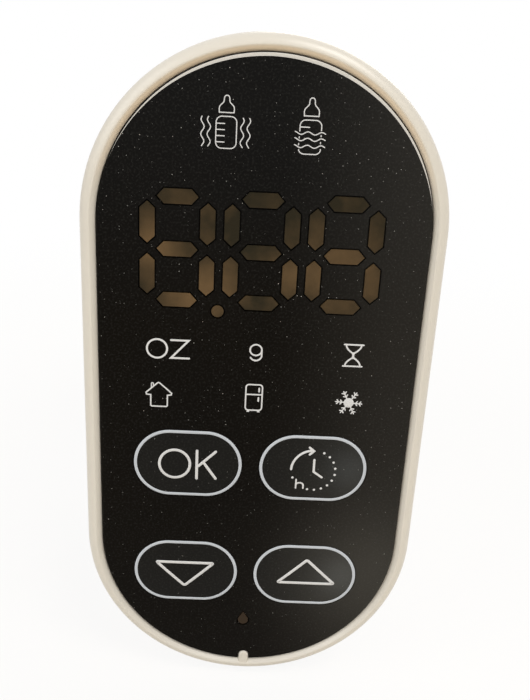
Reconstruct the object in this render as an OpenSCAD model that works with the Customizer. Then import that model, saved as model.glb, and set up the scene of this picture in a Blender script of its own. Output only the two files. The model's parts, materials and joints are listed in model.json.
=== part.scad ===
// Portable bottle warmer: a pill-shaped control pod in front of a round heated cup with a lift-out basket.
// Millimetres. X is to the right, Y to the back and Z up. The origin is on the table, under the middle.

/* [Face] */
// Width of the black face sheet
sheet_w = 64.2; // [63:0.2:72]
// Height of the black face sheet
sheet_h = 133.2; // [132:0.2:146]
// Thickness of the face sheet
sheet_t = 2; // [1.6:0.1:3]
// Width of the bevel round the sheet's edge
sheet_bevel = 0.3; // [0.2:0.1:0.8]
// Gap between the sheet and the rim
sheet_gap = 0.15; // [0.1:0.05:0.3]
// Width of the rim beyond the sheet
rim_w = 3.4; // [2.8:0.1:4]
// Radius of the rim's outer round
rim_round = 2.6; // [2.2:0.1:3.2]
// Distance of the rim's crest from its outer edge
crest_in = 2.2; // [1.4:0.1:2.4]
// Height of the rim's crest above the sheet
rim_proud = 0.35; // [0.3:0.05:0.7]
// Width of the ledge that carries the sheet
ledge_w = 3.8; // [3.4:0.1:4]
// Thickness of that ledge
ledge_t = 1.65; // [1.2:0.05:2.2]
// Width of the locating key at the sheet's lower edge
nub_w = 2.3; // [1.6:0.1:3]
// Reach of the locating key above that edge
nub_h = 2.2; // [1.6:0.1:3]

/* [Keys] */
// Width of a key
key_w = 23; // [20:0.5:24]
// Height of a key
key_h = 15.6; // [12:0.2:17]
// Distance between the two columns of keys
key_pitch = 26.5; // [26.5:0.1:28]
// Distance of the upper keys below the face's middle
upper_row = 15.9; // [14:0.1:18]
// Height of the lower keys above the sheet's lower end
lower_key_rise = 23.8; // [22:0.1:26]
// Distance of the keys and digits to the left of the face's middle
key_shift = 0.5; // [0:0.1:0.8]
// Height of a key above the sheet
key_proud = 0.3; // [0.1:0.05:0.35]
// Travel of a key
key_travel = 0.5; // [0.3:0.05:0.8]
// Gap round a key in its window
key_gap = 0.12; // [0.08:0.01:0.3]
// Width of the flange that keeps a key behind the sheet
key_lip = 1; // [0.8:0.1:1.1]
// Thickness of that flange
key_lip_t = 1; // [0.8:0.1:1.4]
// Diameter of the pin behind a key
key_pin_d = 3.4; // [2.4:0.1:4]
// Length of that pin
key_pin_l = 3.4; // [2.8:0.1:3.5]

/* [Display] */
// Distance between digits
digit_pitch = 16.1; // [15.6:0.1:17]
// Distance between a digit's upright bars
digit_w = 11.5; // [11:0.1:12]
// Distance between a digit's top and bottom bars
digit_h = 20.2; // [19:0.1:22]
// Distance of the digits' middle below the sheet's upper end
digit_top = 36.4; // [34:0.1:39]
// Width of a bar
bar_w = 2.85; // [2.4:0.05:3.3]
// Length of a level bar
level_bar = 7.8; // [7:0.1:8.4]
// Length of an upright bar
upright_bar = 8; // [7:0.1:8.8]
// Depth of a bar's pointed end
bar_tip = 1.3; // [1:0.05:1.6]
// Diameter of the decimal point
point_d = 2.4; // [1.6:0.1:2.8]
// Diameter of the drop-shaped window
drop_d = 2.3; // [1.8:0.1:3]
// Height of that window above the sheet's lower end
drop_rise = 11; // [9:0.1:13]
// Depth of the pockets for the windows
window_deep = 0.6; // [0.4:0.1:1]
// Groove round each window
window_groove = 0.3; // [0.15:0.05:0.35]
// Thickness of the windows
window_t = 0.55; // [0.35:0.05:0.6]

/* [Pod] */
// Depth of the pod from the rim's crest to its back
pod_depth = 34; // [33.5:0.5:42]
// Wall of the pod
pod_wall = 2.2; // [1.8:0.1:2.6]
// Radius of the pod's back edge
pod_round = 6; // [4:0.5:7]
// Depth of the bezel from the rim's crest to the parting line
bezel_depth = 6; // [5:0.5:8]
// Length of the bezel's lip inside the pod
spigot_l = 3; // [2:0.5:4]
// Thickness of that lip
spigot_t = 1.6; // [1.2:0.1:2]
// Space under the pod
pod_lift = 1.8; // [1.2:0.1:3]

/* [Electronics] */
// Thickness of the film in front of the light box
film_t = 0.3; // [0.2:0.05:0.5]
// Depth of the light box
light_box_t = 5.7; // [5.4:0.1:7]
// Wall of the light box beyond the digits
light_box_edge = 1.7; // [1.2:0.1:2.2]
// Thickness of the boards
board_t = 1.6; // [1:0.1:2]
// Height of a key switch above the board
switch_h = 3.3; // [2.9:0.1:3.6]
// Width of a key switch
switch_w = 6.2; // [5.8:0.1:8]
// Diameter of the buzzer
buzzer_d = 12; // [9:0.5:14]
// Depth of the buzzer
buzzer_t = 5.5; // [3:0.5:8]
// Diameter of a battery cell
cell_d = 18.4; // [16:0.1:18.6]
// Length of a battery cell
cell_l = 65; // [60:0.5:68]
// Gap between the two cells
cell_gap = 1; // [0.6:0.1:2]
// Height of the cradle round the cells
cradle_h = 8; // [5:0.5:9]

/* [Charging port] */
// Height of the port above the table
port_height = 50; // [46:0.5:54]
// Depth of the port behind the rim's crest
port_deep = 19.5; // [19:0.5:21]
// Length of the port's flap
flap_l = 15; // [13:0.5:18]
// Reach of the flap from its hinge
flap_reach = 9.5; // [8:0.5:10]
// Thickness of the flap
flap_t = 1.5; // [1.2:0.1:1.6]
// Diameter of the flap's hinge barrel
barrel_d = 2.6; // [2.4:0.1:2.8]
// Diameter of the hinge pin
flap_pin_d = 1; // [0.8:0.1:1.2]
// Width of the socket
socket_w = 8.9; // [8:0.1:9.2]
// Thickness of the socket
socket_t = 3.2; // [2.8:0.1:3.4]

/* [Power slide] */
// Length of the slide's knob
knob_l = 8.4; // [6:0.2:10]
// Width of the knob
knob_w = 5; // [4:0.2:6]
// Travel of the knob
knob_travel = 4; // [2:0.5:5]
// Height of the knob above the pod's side
knob_proud = 0.6; // [0.3:0.1:1.2]

/* [Cup] */
// Outer diameter of the cup
cup_d = 85; // [84:0.5:92]
// Wall of the cup's shell
cup_wall = 2.2; // [1.8:0.1:2.4]
// Height of the cup's rim above the table
cup_h = 105; // [95:1:112]
// Height of the rim ring on the shell
rim_ring_h = 5; // [4:0.5:7]
// Width of the band between the well and the cup's outside
cup_band = 5.5; // [5.4:0.1:6.5]
// Wall of the heating cup
liner_t = 0.8; // [0.6:0.1:1.2]
// Height of the well's floor above the table
well_floor = 29.8; // [29:0.2:34]
// Radius where the well's wall meets its floor
well_round = 3; // [1.5:0.1:3]
// Distance between the pod's back and the cup's front
cup_gap = 1.5; // [1:0.1:4]
// Height of the cup's shell above the table
foot_h = 2; // [1.6:0.1:3]
// Thickness of the base cover
cover_t = 2.5; // [2.2:0.1:3.5]
// Radius of the cup's lower edge
cup_round = 1.6; // [0.6:0.1:1.7]
// Radius of the rim ring's outer edge
rim_ring_round = 1.8; // [1:0.1:2.2]
// Thickness of the seal under the heating cup's flange
seal_t = 1; // [0.6:0.1:1.6]
// Thickness of the insulation
sleeve_t = 2; // [1:0.1:2.1]

/* [Heater] */
// Distance of the heater plate's edge from the well's wall
plate_edge = 8; // [7:0.5:10]
// Thickness of the heater plate
plate_t = 4; // [3.6:0.1:6]
// Distance of the heating element's ring from the plate's edge
element_edge = 11; // [10:0.5:12]
// Diameter of the heating element's tube
element_d = 6; // [4:0.2:6.4]
// Length of the posts under the plate
post_l = 4.2; // [4.2:0.1:6]
// Thickness of the heat shield
shield_t = 0.8; // [0.5:0.1:1.2]
// Distance of the power board's edge from the cup's outside
power_board_edge = 11.5; // [10.5:0.5:13]
// Height of the power board above the base cover
power_board_lift = 4; // [3:0.5:5]

/* [Basket] */
// Clearance between the basket and the well
basket_gap = 0.8; // [0.6:0.1:1.5]
// Wall of the basket
basket_wall = 1.3; // [1:0.1:2]
// Height of the basket's wall
basket_h = 51; // [44:1:58]
// Height of the basket's tabs above the cup's rim
tab_rise = 7; // [5:0.5:12]
// Width of the tabs
tab_w = 15; // [10:1:18]
// Count of slots round the basket
slot_count = 12; // [8:2:16]
// Width of a slot
slot_w = 7; // [5:0.5:8]

/* [Fits] */
// Width of the fine groove where two housing pieces meet
seam = 0.4; // [0.2:0.1:0.6]
// Clearance between pieces that fit into each other
fit = 0.15; // [0.1:0.05:0.2]
// Clearance round a screw or a pin
pin_fit = 0.05; // [0.03:0.01:0.08]

/* [Hidden] */
$fn = 96;

// Colours
cream = "#dcd3c4";
black = "#211f1b";
smoke = "#57482f";
board_green = "#2f5a3c";
dark_grey = "#3a3a3a";
white = "#eeeeea";
steel = "#b9bbbd";
copper = "#b87a4b";

// Overlap that makes two shapes of one piece one solid, and the overshoot of a cut
bite = 0.3;
past = 1;

// Diameter and height of the screw heads, from the smallest screws to the ones in the bezel
small_head = [3.8, 1.4];
mid_head = [4.4, 1.6];
bezel_head = [4.6, 2];

// Face, in its own frame: x to the right, y up, z out of the face, with z = 0 at the rim's crest
straight = sheet_h - sheet_w;
sheet_r = sheet_w / 2;
pocket_r = sheet_r + sheet_gap;
face_r = sheet_r + rim_w;
crest_r = face_r - crest_in;
crest_drop = sqrt(pow(rim_round, 2) - pow(rim_round - crest_in, 2));
ledge_r = sheet_r - ledge_w;
sheet_z = -rim_proud;
sheet_back = sheet_z - sheet_t;
ledge_back = sheet_back - ledge_t;
part_z = -bezel_depth;
face_z = pod_lift + straight / 2 + face_r;
digit_y = sheet_h / 2 - digit_top;
lower_row = sheet_h / 2 - lower_key_rise;
drop_row = sheet_h / 2 - drop_rise;
key_left = -key_shift - key_pitch / 2;
key_right = -key_shift + key_pitch / 2;
key_places = [
    [key_left, -upper_row], [key_right, -upper_row],
    [key_left, -lower_row], [key_right, -lower_row]
];
key_stop_gap = 0.05;
key_lip_back = sheet_back - key_stop_gap - key_lip_t;
key_edge = 0.25;
drop_h = 1.45 * drop_d;
light_box_w = 2 * digit_pitch + digit_w + bar_w + 2 * light_box_edge;
light_box_h = digit_h + bar_w + 2 * light_box_edge;
point_in = 7.6;
point_place = [-digit_pitch + point_in, digit_y - 0.6 * digit_h];

// Pod
pod_r = face_r - pod_wall;
spigot_r = pod_r - fit;
pod_back = -pod_depth;
pod_floor = pod_back + pod_wall;
film_back = sheet_back - film_t;
board_front = film_back - light_box_t;
board_back = board_front - board_t;
board_gap = 0.7;
board_r = spigot_r - spigot_t - board_gap;
board_post_d = 5;
board_post_out = 0.2;
board_post_x = ledge_r + board_post_out;
board_post_rows = [14, -29];
board_screw_d = 1.9;
board_screw_grip = 3;
board_screw_l = board_t + board_screw_grip;
switch_floor = 0.6;
led_size = [2.2, 1.4, 0.8];
sign_column = 19;
bottle_sign = 8;
bottle_sign_rise = 22.5;
unit_sign_drop = 20.5;
food_sign_drop = 30.5;
led_rows = [digit_y + bottle_sign_rise, digit_y - unit_sign_drop, digit_y - food_sign_drop];
led_places = [
    [-bottle_sign, led_rows[0]], [bottle_sign, led_rows[0]],
    [-sign_column, led_rows[1]], [-key_shift, led_rows[1]], [sign_column, led_rows[1]],
    [-sign_column, led_rows[2]], [-key_shift, led_rows[2]], [sign_column, led_rows[2]],
    [-key_shift, -drop_row]
];
buzzer_rise = 14.5;
buzzer_y = straight / 2 + buzzer_rise;
bezel_post_in = 0.9;
bezel_post_turn = 38.3;
bezel_post = [
    (ledge_r - bezel_post_in) * cos(bezel_post_turn),
    straight / 2 + (ledge_r - bezel_post_in) * sin(bezel_post_turn)
];
bezel_post_d = 7;
bezel_post_rise = 4;
bezel_post_end = board_back - bezel_post_rise;
bezel_well_d = 5.4;
bezel_tube_wall = 1.5;
bezel_tube_d = bezel_well_d + 2 * bezel_tube_wall;
bezel_seat_t = 3;
bezel_seat = bezel_post_end - bezel_seat_t;
bezel_screw_d = 2.5;
bezel_screw_l = 9;
cell_x = (cell_d + cell_gap) / 2;
cell_y = -5;
cradle_floor = 1.4;
cell_z = pod_floor + cradle_floor + fit + cell_d / 2;
contact_t = 1.2;
contact_d = 8;
contact_z = cell_z - contact_d / 4;
cradle_end = 2;
cradle_side = 1.5;
cradle_w = 2 * (cell_d + cradle_side) + cell_gap;
cradle_l = cell_l + 2 * contact_t + 2 * cradle_end;

// Charging port, on the pod's right side
port_y = port_height - face_z;
port_z = -port_deep;
port_wall = 5.2;
port_pad_in = face_r - port_wall;
port_pad_side = 3.5;
port_pad_l = flap_l + 2 * port_pad_side;
port_pad_edge = 3.4;
hinge_back = 5.2;
hinge_z = port_z - hinge_back;
hinge_x = face_r - barrel_d / 2;
flap_gap = 0.25;
flap_swing = 1.8;
flap_sunk = 0.1;
nail_r = 4.2;
nail_out = 3;
flap_under = 0.4;
flap_floor = face_r - flap_t - flap_under;
flap_pin_seat = 2.2;
socket_l = 7.3;
socket_wall = 0.35;
socket_back = 1.2;
socket_sunk = 0.1;
socket_mouth = flap_floor - socket_sunk;
charge_board_w = 17.6;
charge_board_gap = 1;
charge_board_in = cradle_w / 2 + charge_board_gap;
charge_board_end = 0.3;
charge_board_out = port_pad_in - charge_board_end;
charge_board_front = port_z - socket_t / 2;
charge_screw_edge = 2.4;
charge_screw_x = charge_board_in + charge_screw_edge;
charge_screw_y = 6.4;
charge_screw_d = 1.9;
charge_screw_grip = 4;
charge_screw_l = board_t + charge_screw_grip;
charge_post_d = 4.6;

// Power slide, on the pod's left side
knob_deep = 1.3;
knob_t = knob_deep - fit + knob_proud;
knob_pocket_l = knob_l + knob_travel + 2 * fit;
knob_pocket_w = knob_w + 2 * fit;
stem_l = 3;
stem_w = 2;
slide_pad = 1;
slide_pad_edge = 2;
stem_reach = 2.6;
stem_in = face_r - pod_wall - slide_pad - stem_reach;
slide_body = [5, 14, 7];
slide_wall_in = pod_r - slide_pad;

// Cup, about its own upright axis
cup_r = cup_d / 2;
cup_in_r = cup_r - cup_wall;
total_depth = pod_depth + cup_gap + cup_d;
front_y = -total_depth / 2;
cup_y = front_y + pod_depth + cup_gap + cup_r;
well_r = cup_r - cup_band;
well_d = 2 * well_r;
liner_r = well_r + liner_t;
shell_top = cup_h - rim_ring_h;
shell_lip_h = 3;
sleeve_gap = 0.1;
shell_lip_gap = 0.3;
shell_lip_r = liner_r + shell_lip_gap;
flange_out = 0.1;
flange_r = cup_in_r + flange_out;
flange_z = shell_top + seal_t;
flange_top = flange_z + liner_t;
rim_ring_gap = 0.2;
rim_ring_in = well_r + rim_ring_gap;
cover_top = foot_h + cover_t;
cover_r = cup_in_r - fit;
base_boss_d = 7.6;
base_boss_place = cup_in_r - base_boss_d / 2 + bite;
base_boss_h = 10;
base_screw_d = 2.9;
base_screw_l = 9;
base_head_d = 5.6;
base_head_h = 1.3;
base_head_sunk = 0.1;
foot_d = 10;
foot_edge = 11.5;
foot_place = cup_r - foot_edge;
foot_sunk = 0.6;
saddle_fit = 0.1;
saddle_edge = 1;
saddle_w = 2 * (face_r - pod_round - saddle_edge);
saddle_reach = cup_gap + cup_r - sqrt(pow(cup_r, 2) - pow(saddle_w / 2, 2)) + bite;
saddle_top = shell_top - shell_lip_h - face_z;
join_places = [[-24.5, 20], [24.5, 20], [-12, -48], [12, -48]];
join_boss_d = 7;
join_screw_d = 2.9;
join_grip = 4.2;
join_head_d = 5.4;
join_head_h = 1.8;
pod_foot_w = 16;
pod_foot_l = 12;
pod_foot_deep = 12;
pod_foot_sunk = 0.15;
pod_foot_top = pod_lift + face_r - sqrt(pow(face_r, 2) - pow(pod_foot_w / 2, 2)) + pod_foot_sunk;

// Heater, boards and wires in the cup's base
plate_d = well_d - 2 * plate_edge;
element_ring_d = plate_d - 2 * element_edge;
power_board_d = cup_d - 2 * power_board_edge;
liner_under = well_floor - liner_t;
plate_under = liner_under - plate_t;
shield_z = plate_under - post_l - shield_t;
element_rise = 0.8;
element_z = plate_under + element_rise;
post_edge = 3.5;
post_place = plate_d / 2 - post_edge;
post_d = 6;
post_count = 3;
post_turn = 90;
shield_screw_d = 2.4;
shield_gap = 0.3;
shield_r = liner_r - shield_gap;
shield_lip = 4;
probe_d = 6;
probe_flange_d = 9;
probe_flange_t = 1.6;
fuse_d = 4;
fuse_l = 10;
fuse_gap = 0.7;
fuse_y = (probe_flange_d + fuse_d) / 2 + fuse_gap;
lead_d = 1.8;
lead_turn = 12;
lead_end_gap = 0.1;
power_board_z = cover_top + power_board_lift;
power_board_top = power_board_z + board_t;
power_post_d = 6;
power_post_edge = 8;
power_post_place = power_board_d / 2 - power_post_edge;
power_screw_d = 2.4;
power_screw_grip = 3.2;
power_screw_l = board_t + power_screw_grip;
capacitor = [8, 7];
capacitor_place = [9, 14];
coil = [12, 5.5];
coil_bore = [5, 2.5];
coil_place = [-12, 0];
chip_block = [10, 8, 5];
chip_place = [-5, -13];
harness_d = 4;
harness_rise = 6.1;
harness_z = power_board_top + harness_rise;
plug_size = [8, 5, 4];
plug_edge = 5;
plug_y = -power_board_d / 2 + plug_edge;
harness_face_y = harness_z - face_z;
grommet_d = 7.2;
grommet_flange_d = 10;
grommet_flange_t = 1.4;

// Basket
basket_r = well_r - basket_gap;
basket_in_r = basket_r - basket_wall;
basket_foot = 1.2;
basket_z = well_floor + basket_foot;
basket_floor_t = 1.5;
basket_chamfer = 1.5;
basket_top = basket_z + basket_h;
basket_band = 8.5;
slot_l = basket_h - 2 * basket_band;
tab_top = cup_h + tab_rise;
tab_grip = 3.2;
tab_grip_t = 2;
drain_d = 6;
drain_pitch = 11;
basket_foot_d = 4;
basket_foot_in = 7.4;
basket_foot_place = basket_in_r - basket_foot_in;
basket_foot_turn = 15;

// Puts what is drawn in the face's frame where the face stands
module on_face() translate([0, front_y, face_z]) rotate([90, 0, 0]) children();

// Puts what is drawn about the cup's axis where the cup stands
module at_cup() translate([0, cup_y, 0]) children();

// Copies round the cup's axis
module ring_of(count, first, place) for (i = [0 : count - 1])
    rotate(first + i * 360 / count) translate([place, 0, 0]) children();

// Pill outline with round ends, upright or lying
module pill(w, h) {
    d = min(w, h);
    square([w == d ? d : w - d, h == d ? d : h - d], center = true);
    for (s = [-1, 1])
        translate([s * (w - d) / 2, s * (h - d) / 2]) circle(d = d);
}

// Carries a profile (distance from the pill's spine, height) once round an upright pill
module round_the_pill(run) {
    for (s = [0, 1]) {
        rotate(180 * s) translate([0, run / 2, 0]) rotate_extrude(angle = 180) children();
        mirror([s, 0, 0]) translate([0, run / 2, 0]) rotate([90, 0, 0]) linear_extrude(run) children();
    }
}

// Half section of a tub with a rounded lower edge
module tub_section(r, low, high, round) {
    translate([0, low]) square([r - round, high - low]);
    translate([0, low + round]) square([r, high - low - round]);
    translate([r - round, low + round]) circle(round);
}

// What a rounded edge takes off a section: outer (out 1) or inner (out -1), upper (up 1) or lower (up -1)
module edge_off(r, level, round, out, up) translate([r, level]) scale([out, up]) translate([-round, -round])
    difference() {
        square(round + past);
        circle(round);
    }

// Screw along +z with its head below z = 0 and a cross recess in the head
module screw(d, l, head_d, head_h) difference() {
    union() {
        cylinder(d = d, h = l);
        translate([0, 0, -head_h]) cylinder(d = head_d, h = head_h);
    }
    for (a = [0, 90])
        rotate(a) translate([-head_d / 3, -head_d / 12, -head_h - past])
            cube([head_d / 1.5, head_d / 6, past + head_h / 2]);
}

// One bar of a digit, level, with pointed ends
module bar(l, grow) {
    half_w = bar_w / 2 + grow;
    tip = bar_tip * half_w / (bar_w / 2);
    half_l = l / 2 + grow * sqrt(1 + pow(2 * bar_tip / bar_w, 2));
    polygon([
        [-half_l, 0], [tip - half_l, half_w], [half_l - tip, half_w],
        [half_l, 0], [half_l - tip, -half_w], [tip - half_l, -half_w]
    ]);
}

// The seven bars of the three digits
module digit_bars(grow) for (i = [-1 : 1]) translate([i * digit_pitch - key_shift, digit_y]) {
    for (row = [-1 : 1]) translate([0, row * digit_h / 2]) bar(level_bar, grow);
    for (sx = [-1, 1], sy = [-1, 1])
        translate([sx * digit_w / 2, sy * digit_h / 4]) rotate(90) bar(upright_bar, grow);
}

// All the windows of the face: digits, decimal point and drop
module face_windows(grow) {
    digit_bars(grow);
    translate(point_place) circle(d = point_d + 2 * grow);
    translate([-key_shift, -drop_row]) drop_outline(drop_d / 2 + grow, drop_h - drop_d / 2 + grow);
}

// Drop with a round lower end and a point above
module drop_outline(r, tip) {
    lean = asin(r / tip);
    circle(r);
    polygon([[0, tip], [-r * cos(lean), r * sin(lean)], [0, 0], [r * cos(lean), r * sin(lean)]]);
}

// Both bezel posts, or all four board posts
module at_bezel_posts() for (s = [-1, 1]) translate([s * bezel_post[0], bezel_post[1], 0]) children();
module at_board_posts() for (s = [-1, 1], y = board_post_rows) translate([s * board_post_x, y, 0]) children();

module front_panel() color(black) on_face() difference() {
    round_the_pill(straight) polygon([
        [0, sheet_z], [sheet_r - sheet_bevel, sheet_z], [sheet_r, sheet_z - sheet_bevel],
        [sheet_r, sheet_back], [0, sheet_back]
    ]);
    for (k = key_places)
        translate([k[0], k[1], sheet_back - past])
            linear_extrude(sheet_t + 2 * past) pill(key_w + 2 * key_gap, key_h + 2 * key_gap);
    translate([0, 0, sheet_z - window_deep]) linear_extrude(window_deep + past) face_windows(window_groove);
    translate([0, -sheet_h / 2, sheet_back - past])
        linear_extrude(sheet_t + 2 * past) pill(nub_w + 2 * sheet_gap, 2 * (nub_h + sheet_gap));
}

// Section of the bezel: rounded rim, sloping inner edge, ledge for the sheet and lip for the pod
module bezel_section() {
    difference() {
        translate([pocket_r, part_z]) square([face_r - pocket_r, bezel_depth]);
        difference() {
            translate([face_r - rim_round, -crest_drop]) square([rim_round + past, crest_drop + past]);
            translate([face_r - rim_round, -crest_drop]) circle(rim_round);
        }
        polygon([[crest_r, 0], [crest_r - rim_w, -rim_w], [crest_r - rim_w, past], [crest_r, past]]);
        translate([face_r - seam, part_z - past]) square([seam + past, seam + past]);
    }
    translate([ledge_r, ledge_back]) square([pocket_r + bite - ledge_r, ledge_t]);
    translate([spigot_r - spigot_t, part_z - spigot_l])
        square([spigot_t, spigot_l + ledge_back - part_z + bite]);
}

module bezel() color(cream) on_face() difference() {
    union() {
        round_the_pill(straight) bezel_section();
        translate([0, -sheet_h / 2, sheet_back - bite]) linear_extrude(sheet_t + bite) {
            translate([0, nub_h - nub_w / 2]) circle(d = nub_w);
            translate([-nub_w / 2, -rim_w / 2]) square([nub_w, nub_h - nub_w / 2 + rim_w / 2]);
        }
        at_board_posts() translate([0, 0, board_front])
            cylinder(d = board_post_d, h = ledge_back - board_front + bite);
        at_bezel_posts() translate([0, 0, bezel_post_end])
            cylinder(d = bezel_post_d, h = ledge_back - bezel_post_end + bite);
    }
    at_board_posts() translate([0, 0, board_front - past])
        cylinder(d = board_screw_d + 2 * pin_fit, h = board_screw_l - board_t + past + bite);
    at_bezel_posts() translate([0, 0, bezel_post_end - past])
        cylinder(d = bezel_screw_d + 2 * pin_fit,
                 h = bezel_screw_l - bezel_post_end + bezel_seat + past + bite);
}

module segment_windows() color(smoke) on_face()
    translate([0, 0, sheet_z - window_deep]) linear_extrude(window_t) face_windows(0);

// One key: a cap with a soft edge, a flange behind the sheet and a pin for its switch
module key(place) color(black) on_face() translate(place) {
    r = key_h / 2;
    top = sheet_z + key_proud;
    lip_front = sheet_back - key_stop_gap;
    rotate(90) round_the_pill(key_w - key_h) polygon([
        [0, top], [r - key_edge, top], [r, top - key_edge], [r, lip_front],
        [r + key_lip, lip_front], [r + key_lip, key_lip_back], [0, key_lip_back]
    ]);
    translate([0, 0, key_lip_back - key_pin_l]) cylinder(d = key_pin_d, h = key_pin_l + bite);
}

module key_ok() key(key_places[0]);
module key_timer() key(key_places[1]);
module key_down() key(key_places[2]);
module key_up() key(key_places[3]);

module display_film() color(white) on_face()
    translate([-key_shift - light_box_w / 2, digit_y - light_box_h / 2, film_back])
        cube([light_box_w, light_box_h, film_t]);

module display_box() color(white) on_face() difference() {
    translate([-key_shift - light_box_w / 2, digit_y - light_box_h / 2, board_front])
        cube([light_box_w, light_box_h, light_box_t]);
    translate([0, 0, board_front - past]) linear_extrude(light_box_t + 2 * past) digit_bars(0);
}

module control_board() color(board_green) on_face() {
    translate([0, 0, board_back]) linear_extrude(board_t) difference() {
        pill(2 * board_r, straight + 2 * board_r);
        at_board_posts() circle(d = board_screw_d + 4 * pin_fit);
        at_bezel_posts() circle(d = bezel_post_d + 2 * past);
    }
    translate([-plug_size[0] / 2, harness_face_y - plug_size[1] / 2, board_back - plug_size[2]])
        cube([plug_size[0], plug_size[1], plug_size[2] + bite]);
}

module key_switches() color(dark_grey) on_face() for (k = key_places)
    translate([k[0], k[1], board_front]) difference() {
        linear_extrude(switch_h) square(switch_w, center = true);
        translate([0, 0, switch_floor]) cylinder(d = key_pin_d + 2 * pin_fit, h = switch_h);
    }

module indicator_leds() color("#f3e3b0") on_face() for (p = led_places)
    translate([p[0] - led_size[0] / 2, p[1] - led_size[1] / 2, board_front]) cube(led_size);

module buzzer() color(dark_grey) on_face() translate([0, buzzer_y, board_back - buzzer_t]) difference() {
    cylinder(d = buzzer_d, h = buzzer_t);
    translate([0, 0, -past]) cylinder(d = buzzer_d / 5, h = past + buzzer_t / 2);
}

module board_screws() color(steel) on_face() at_board_posts()
    translate([0, 0, board_back]) screw(board_screw_d, board_screw_l, small_head[0], small_head[1]);

// Walls inside the pod that carry the charging port and the power slide
module side_pads() {
    translate([port_pad_in, port_y - port_pad_l / 2, hinge_z - port_pad_edge])
        cube([pod_r + bite - port_pad_in, port_pad_l, flap_reach + 2 * port_pad_edge]);
    pad_l = knob_pocket_l + 2 * slide_pad_edge;
    pad_w = knob_pocket_w + 2 * slide_pad_edge;
    translate([-pod_r - bite, port_y - pad_l / 2, port_z - pad_w / 2]) cube([slide_pad + bite, pad_l, pad_w]);
}

// What the charging port takes out of the pod's right side
module port_cuts() {
    pocket_l = flap_l + 2 * flap_gap;
    translate([flap_floor, port_y - pocket_l / 2, hinge_z - flap_swing])
        cube([face_r - flap_floor + past, pocket_l, flap_swing + flap_reach + flap_gap]);
    translate([hinge_x - barrel_d / 2 - flap_gap, port_y - pocket_l / 2, hinge_z - flap_swing])
        cube([barrel_d + past, pocket_l, 2 * flap_swing]);
    translate([hinge_x, port_y, hinge_z]) rotate([90, 0, 0])
        cylinder(d = flap_pin_d + 2 * pin_fit, h = pocket_l + 2 * flap_pin_seat, center = true);
    translate([port_pad_in - past, port_y, port_z]) rotate([0, 90, 0])
        linear_extrude(face_r - port_pad_in + past) pill(socket_t + 2 * fit, socket_w + 2 * fit);
    translate([face_r + nail_out, port_y, hinge_z + flap_reach + flap_gap]) sphere(nail_r);
}

// What the power slide takes out of the pod's left side
module slide_cuts() {
    translate([-face_r - past, port_y - knob_pocket_l / 2, port_z - knob_pocket_w / 2])
        cube([knob_deep + past, knob_pocket_l, knob_pocket_w]);
    translate([-face_r, port_y - (stem_l + knob_travel) / 2 - fit, port_z - stem_w / 2 - fit])
        cube([pod_wall + slide_pad + past, stem_l + knob_travel + 2 * fit, stem_w + 2 * fit]);
}

// Pad behind the pod that fits round the cup's front
module saddle() translate([0, 0, pod_back - saddle_reach])
    linear_extrude(saddle_reach + pod_wall / 2) intersection() {
        pill(saddle_w, straight + saddle_w);
        translate([-face_r, saddle_top - sheet_h]) square([2 * face_r, sheet_h]);
    }

module pod_shell() color(cream) difference() {
    on_face() {
        difference() {
            round_the_pill(straight) tub_section(face_r, pod_back, part_z, pod_round);
            round_the_pill(straight) tub_section(pod_r, pod_floor, part_z + past, pod_round - pod_wall);
        }
        saddle();
        side_pads();
        at_bezel_posts() translate([0, 0, pod_back + bite])
            cylinder(d = bezel_tube_d, h = bezel_post_end - pod_back - bite);
        for (s = [-1, 1]) translate([charge_screw_x, port_y + s * charge_screw_y, pod_floor - bite])
            cylinder(d = charge_post_d, h = charge_board_front - board_t - pod_floor + bite);
    }
    at_cup() cylinder(r = cup_r + saddle_fit, h = shell_top);
    on_face() {
        port_cuts();
        slide_cuts();
        at_bezel_posts() {
            translate([0, 0, pod_back - past]) cylinder(d = bezel_well_d, h = bezel_seat - pod_back + past);
            translate([0, 0, bezel_seat - past])
                cylinder(d = bezel_screw_d + 4 * pin_fit, h = bezel_seat_t + 2 * past);
        }
        for (s = [-1, 1])
            translate([charge_screw_x, port_y + s * charge_screw_y,
                       charge_board_front - charge_screw_l - bite])
                cylinder(d = charge_screw_d + 2 * pin_fit, h = charge_screw_l);
        for (p = join_places) translate([p[0], p[1], pod_back - saddle_reach - past]) {
            cylinder(d = join_screw_d + 4 * pin_fit, h = saddle_reach + pod_wall + 2 * past);
            cylinder(d = join_boss_d + 2 * fit, h = saddle_reach + past);
        }
        translate([0, harness_face_y, pod_back - saddle_reach - past])
            cylinder(d = grommet_d + 2 * pin_fit, h = saddle_reach + pod_wall + 2 * past);
    }
    translate([-pod_foot_w / 2 - fit, front_y + pod_foot_deep - fit, -past])
        cube([pod_foot_w + 2 * fit, pod_foot_l + 2 * fit, pod_foot_top + past]);
}

module bezel_screws() color(steel) on_face() at_bezel_posts()
    translate([0, 0, bezel_seat]) screw(bezel_screw_d, bezel_screw_l, bezel_head[0], bezel_head[1]);

// One battery cell, upright
module battery_cell(side) color("#3f7d8c") on_face() translate([side * cell_x, cell_y, cell_z])
    rotate([90, 0, 0]) cylinder(d = cell_d, h = cell_l, center = true);

module battery_cell_1() battery_cell(-1);
module battery_cell_2() battery_cell(1);

module battery_cradle() color(dark_grey) on_face() difference() {
    translate([-cradle_w / 2, cell_y - cradle_l / 2, pod_floor]) cube([cradle_w, cradle_l, cradle_h]);
    for (s = [-1, 1]) translate([s * cell_x, cell_y, cell_z]) rotate([90, 0, 0])
        cylinder(d = cell_d + 2 * fit, h = cell_l + 2 * contact_t, center = true);
}

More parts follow.
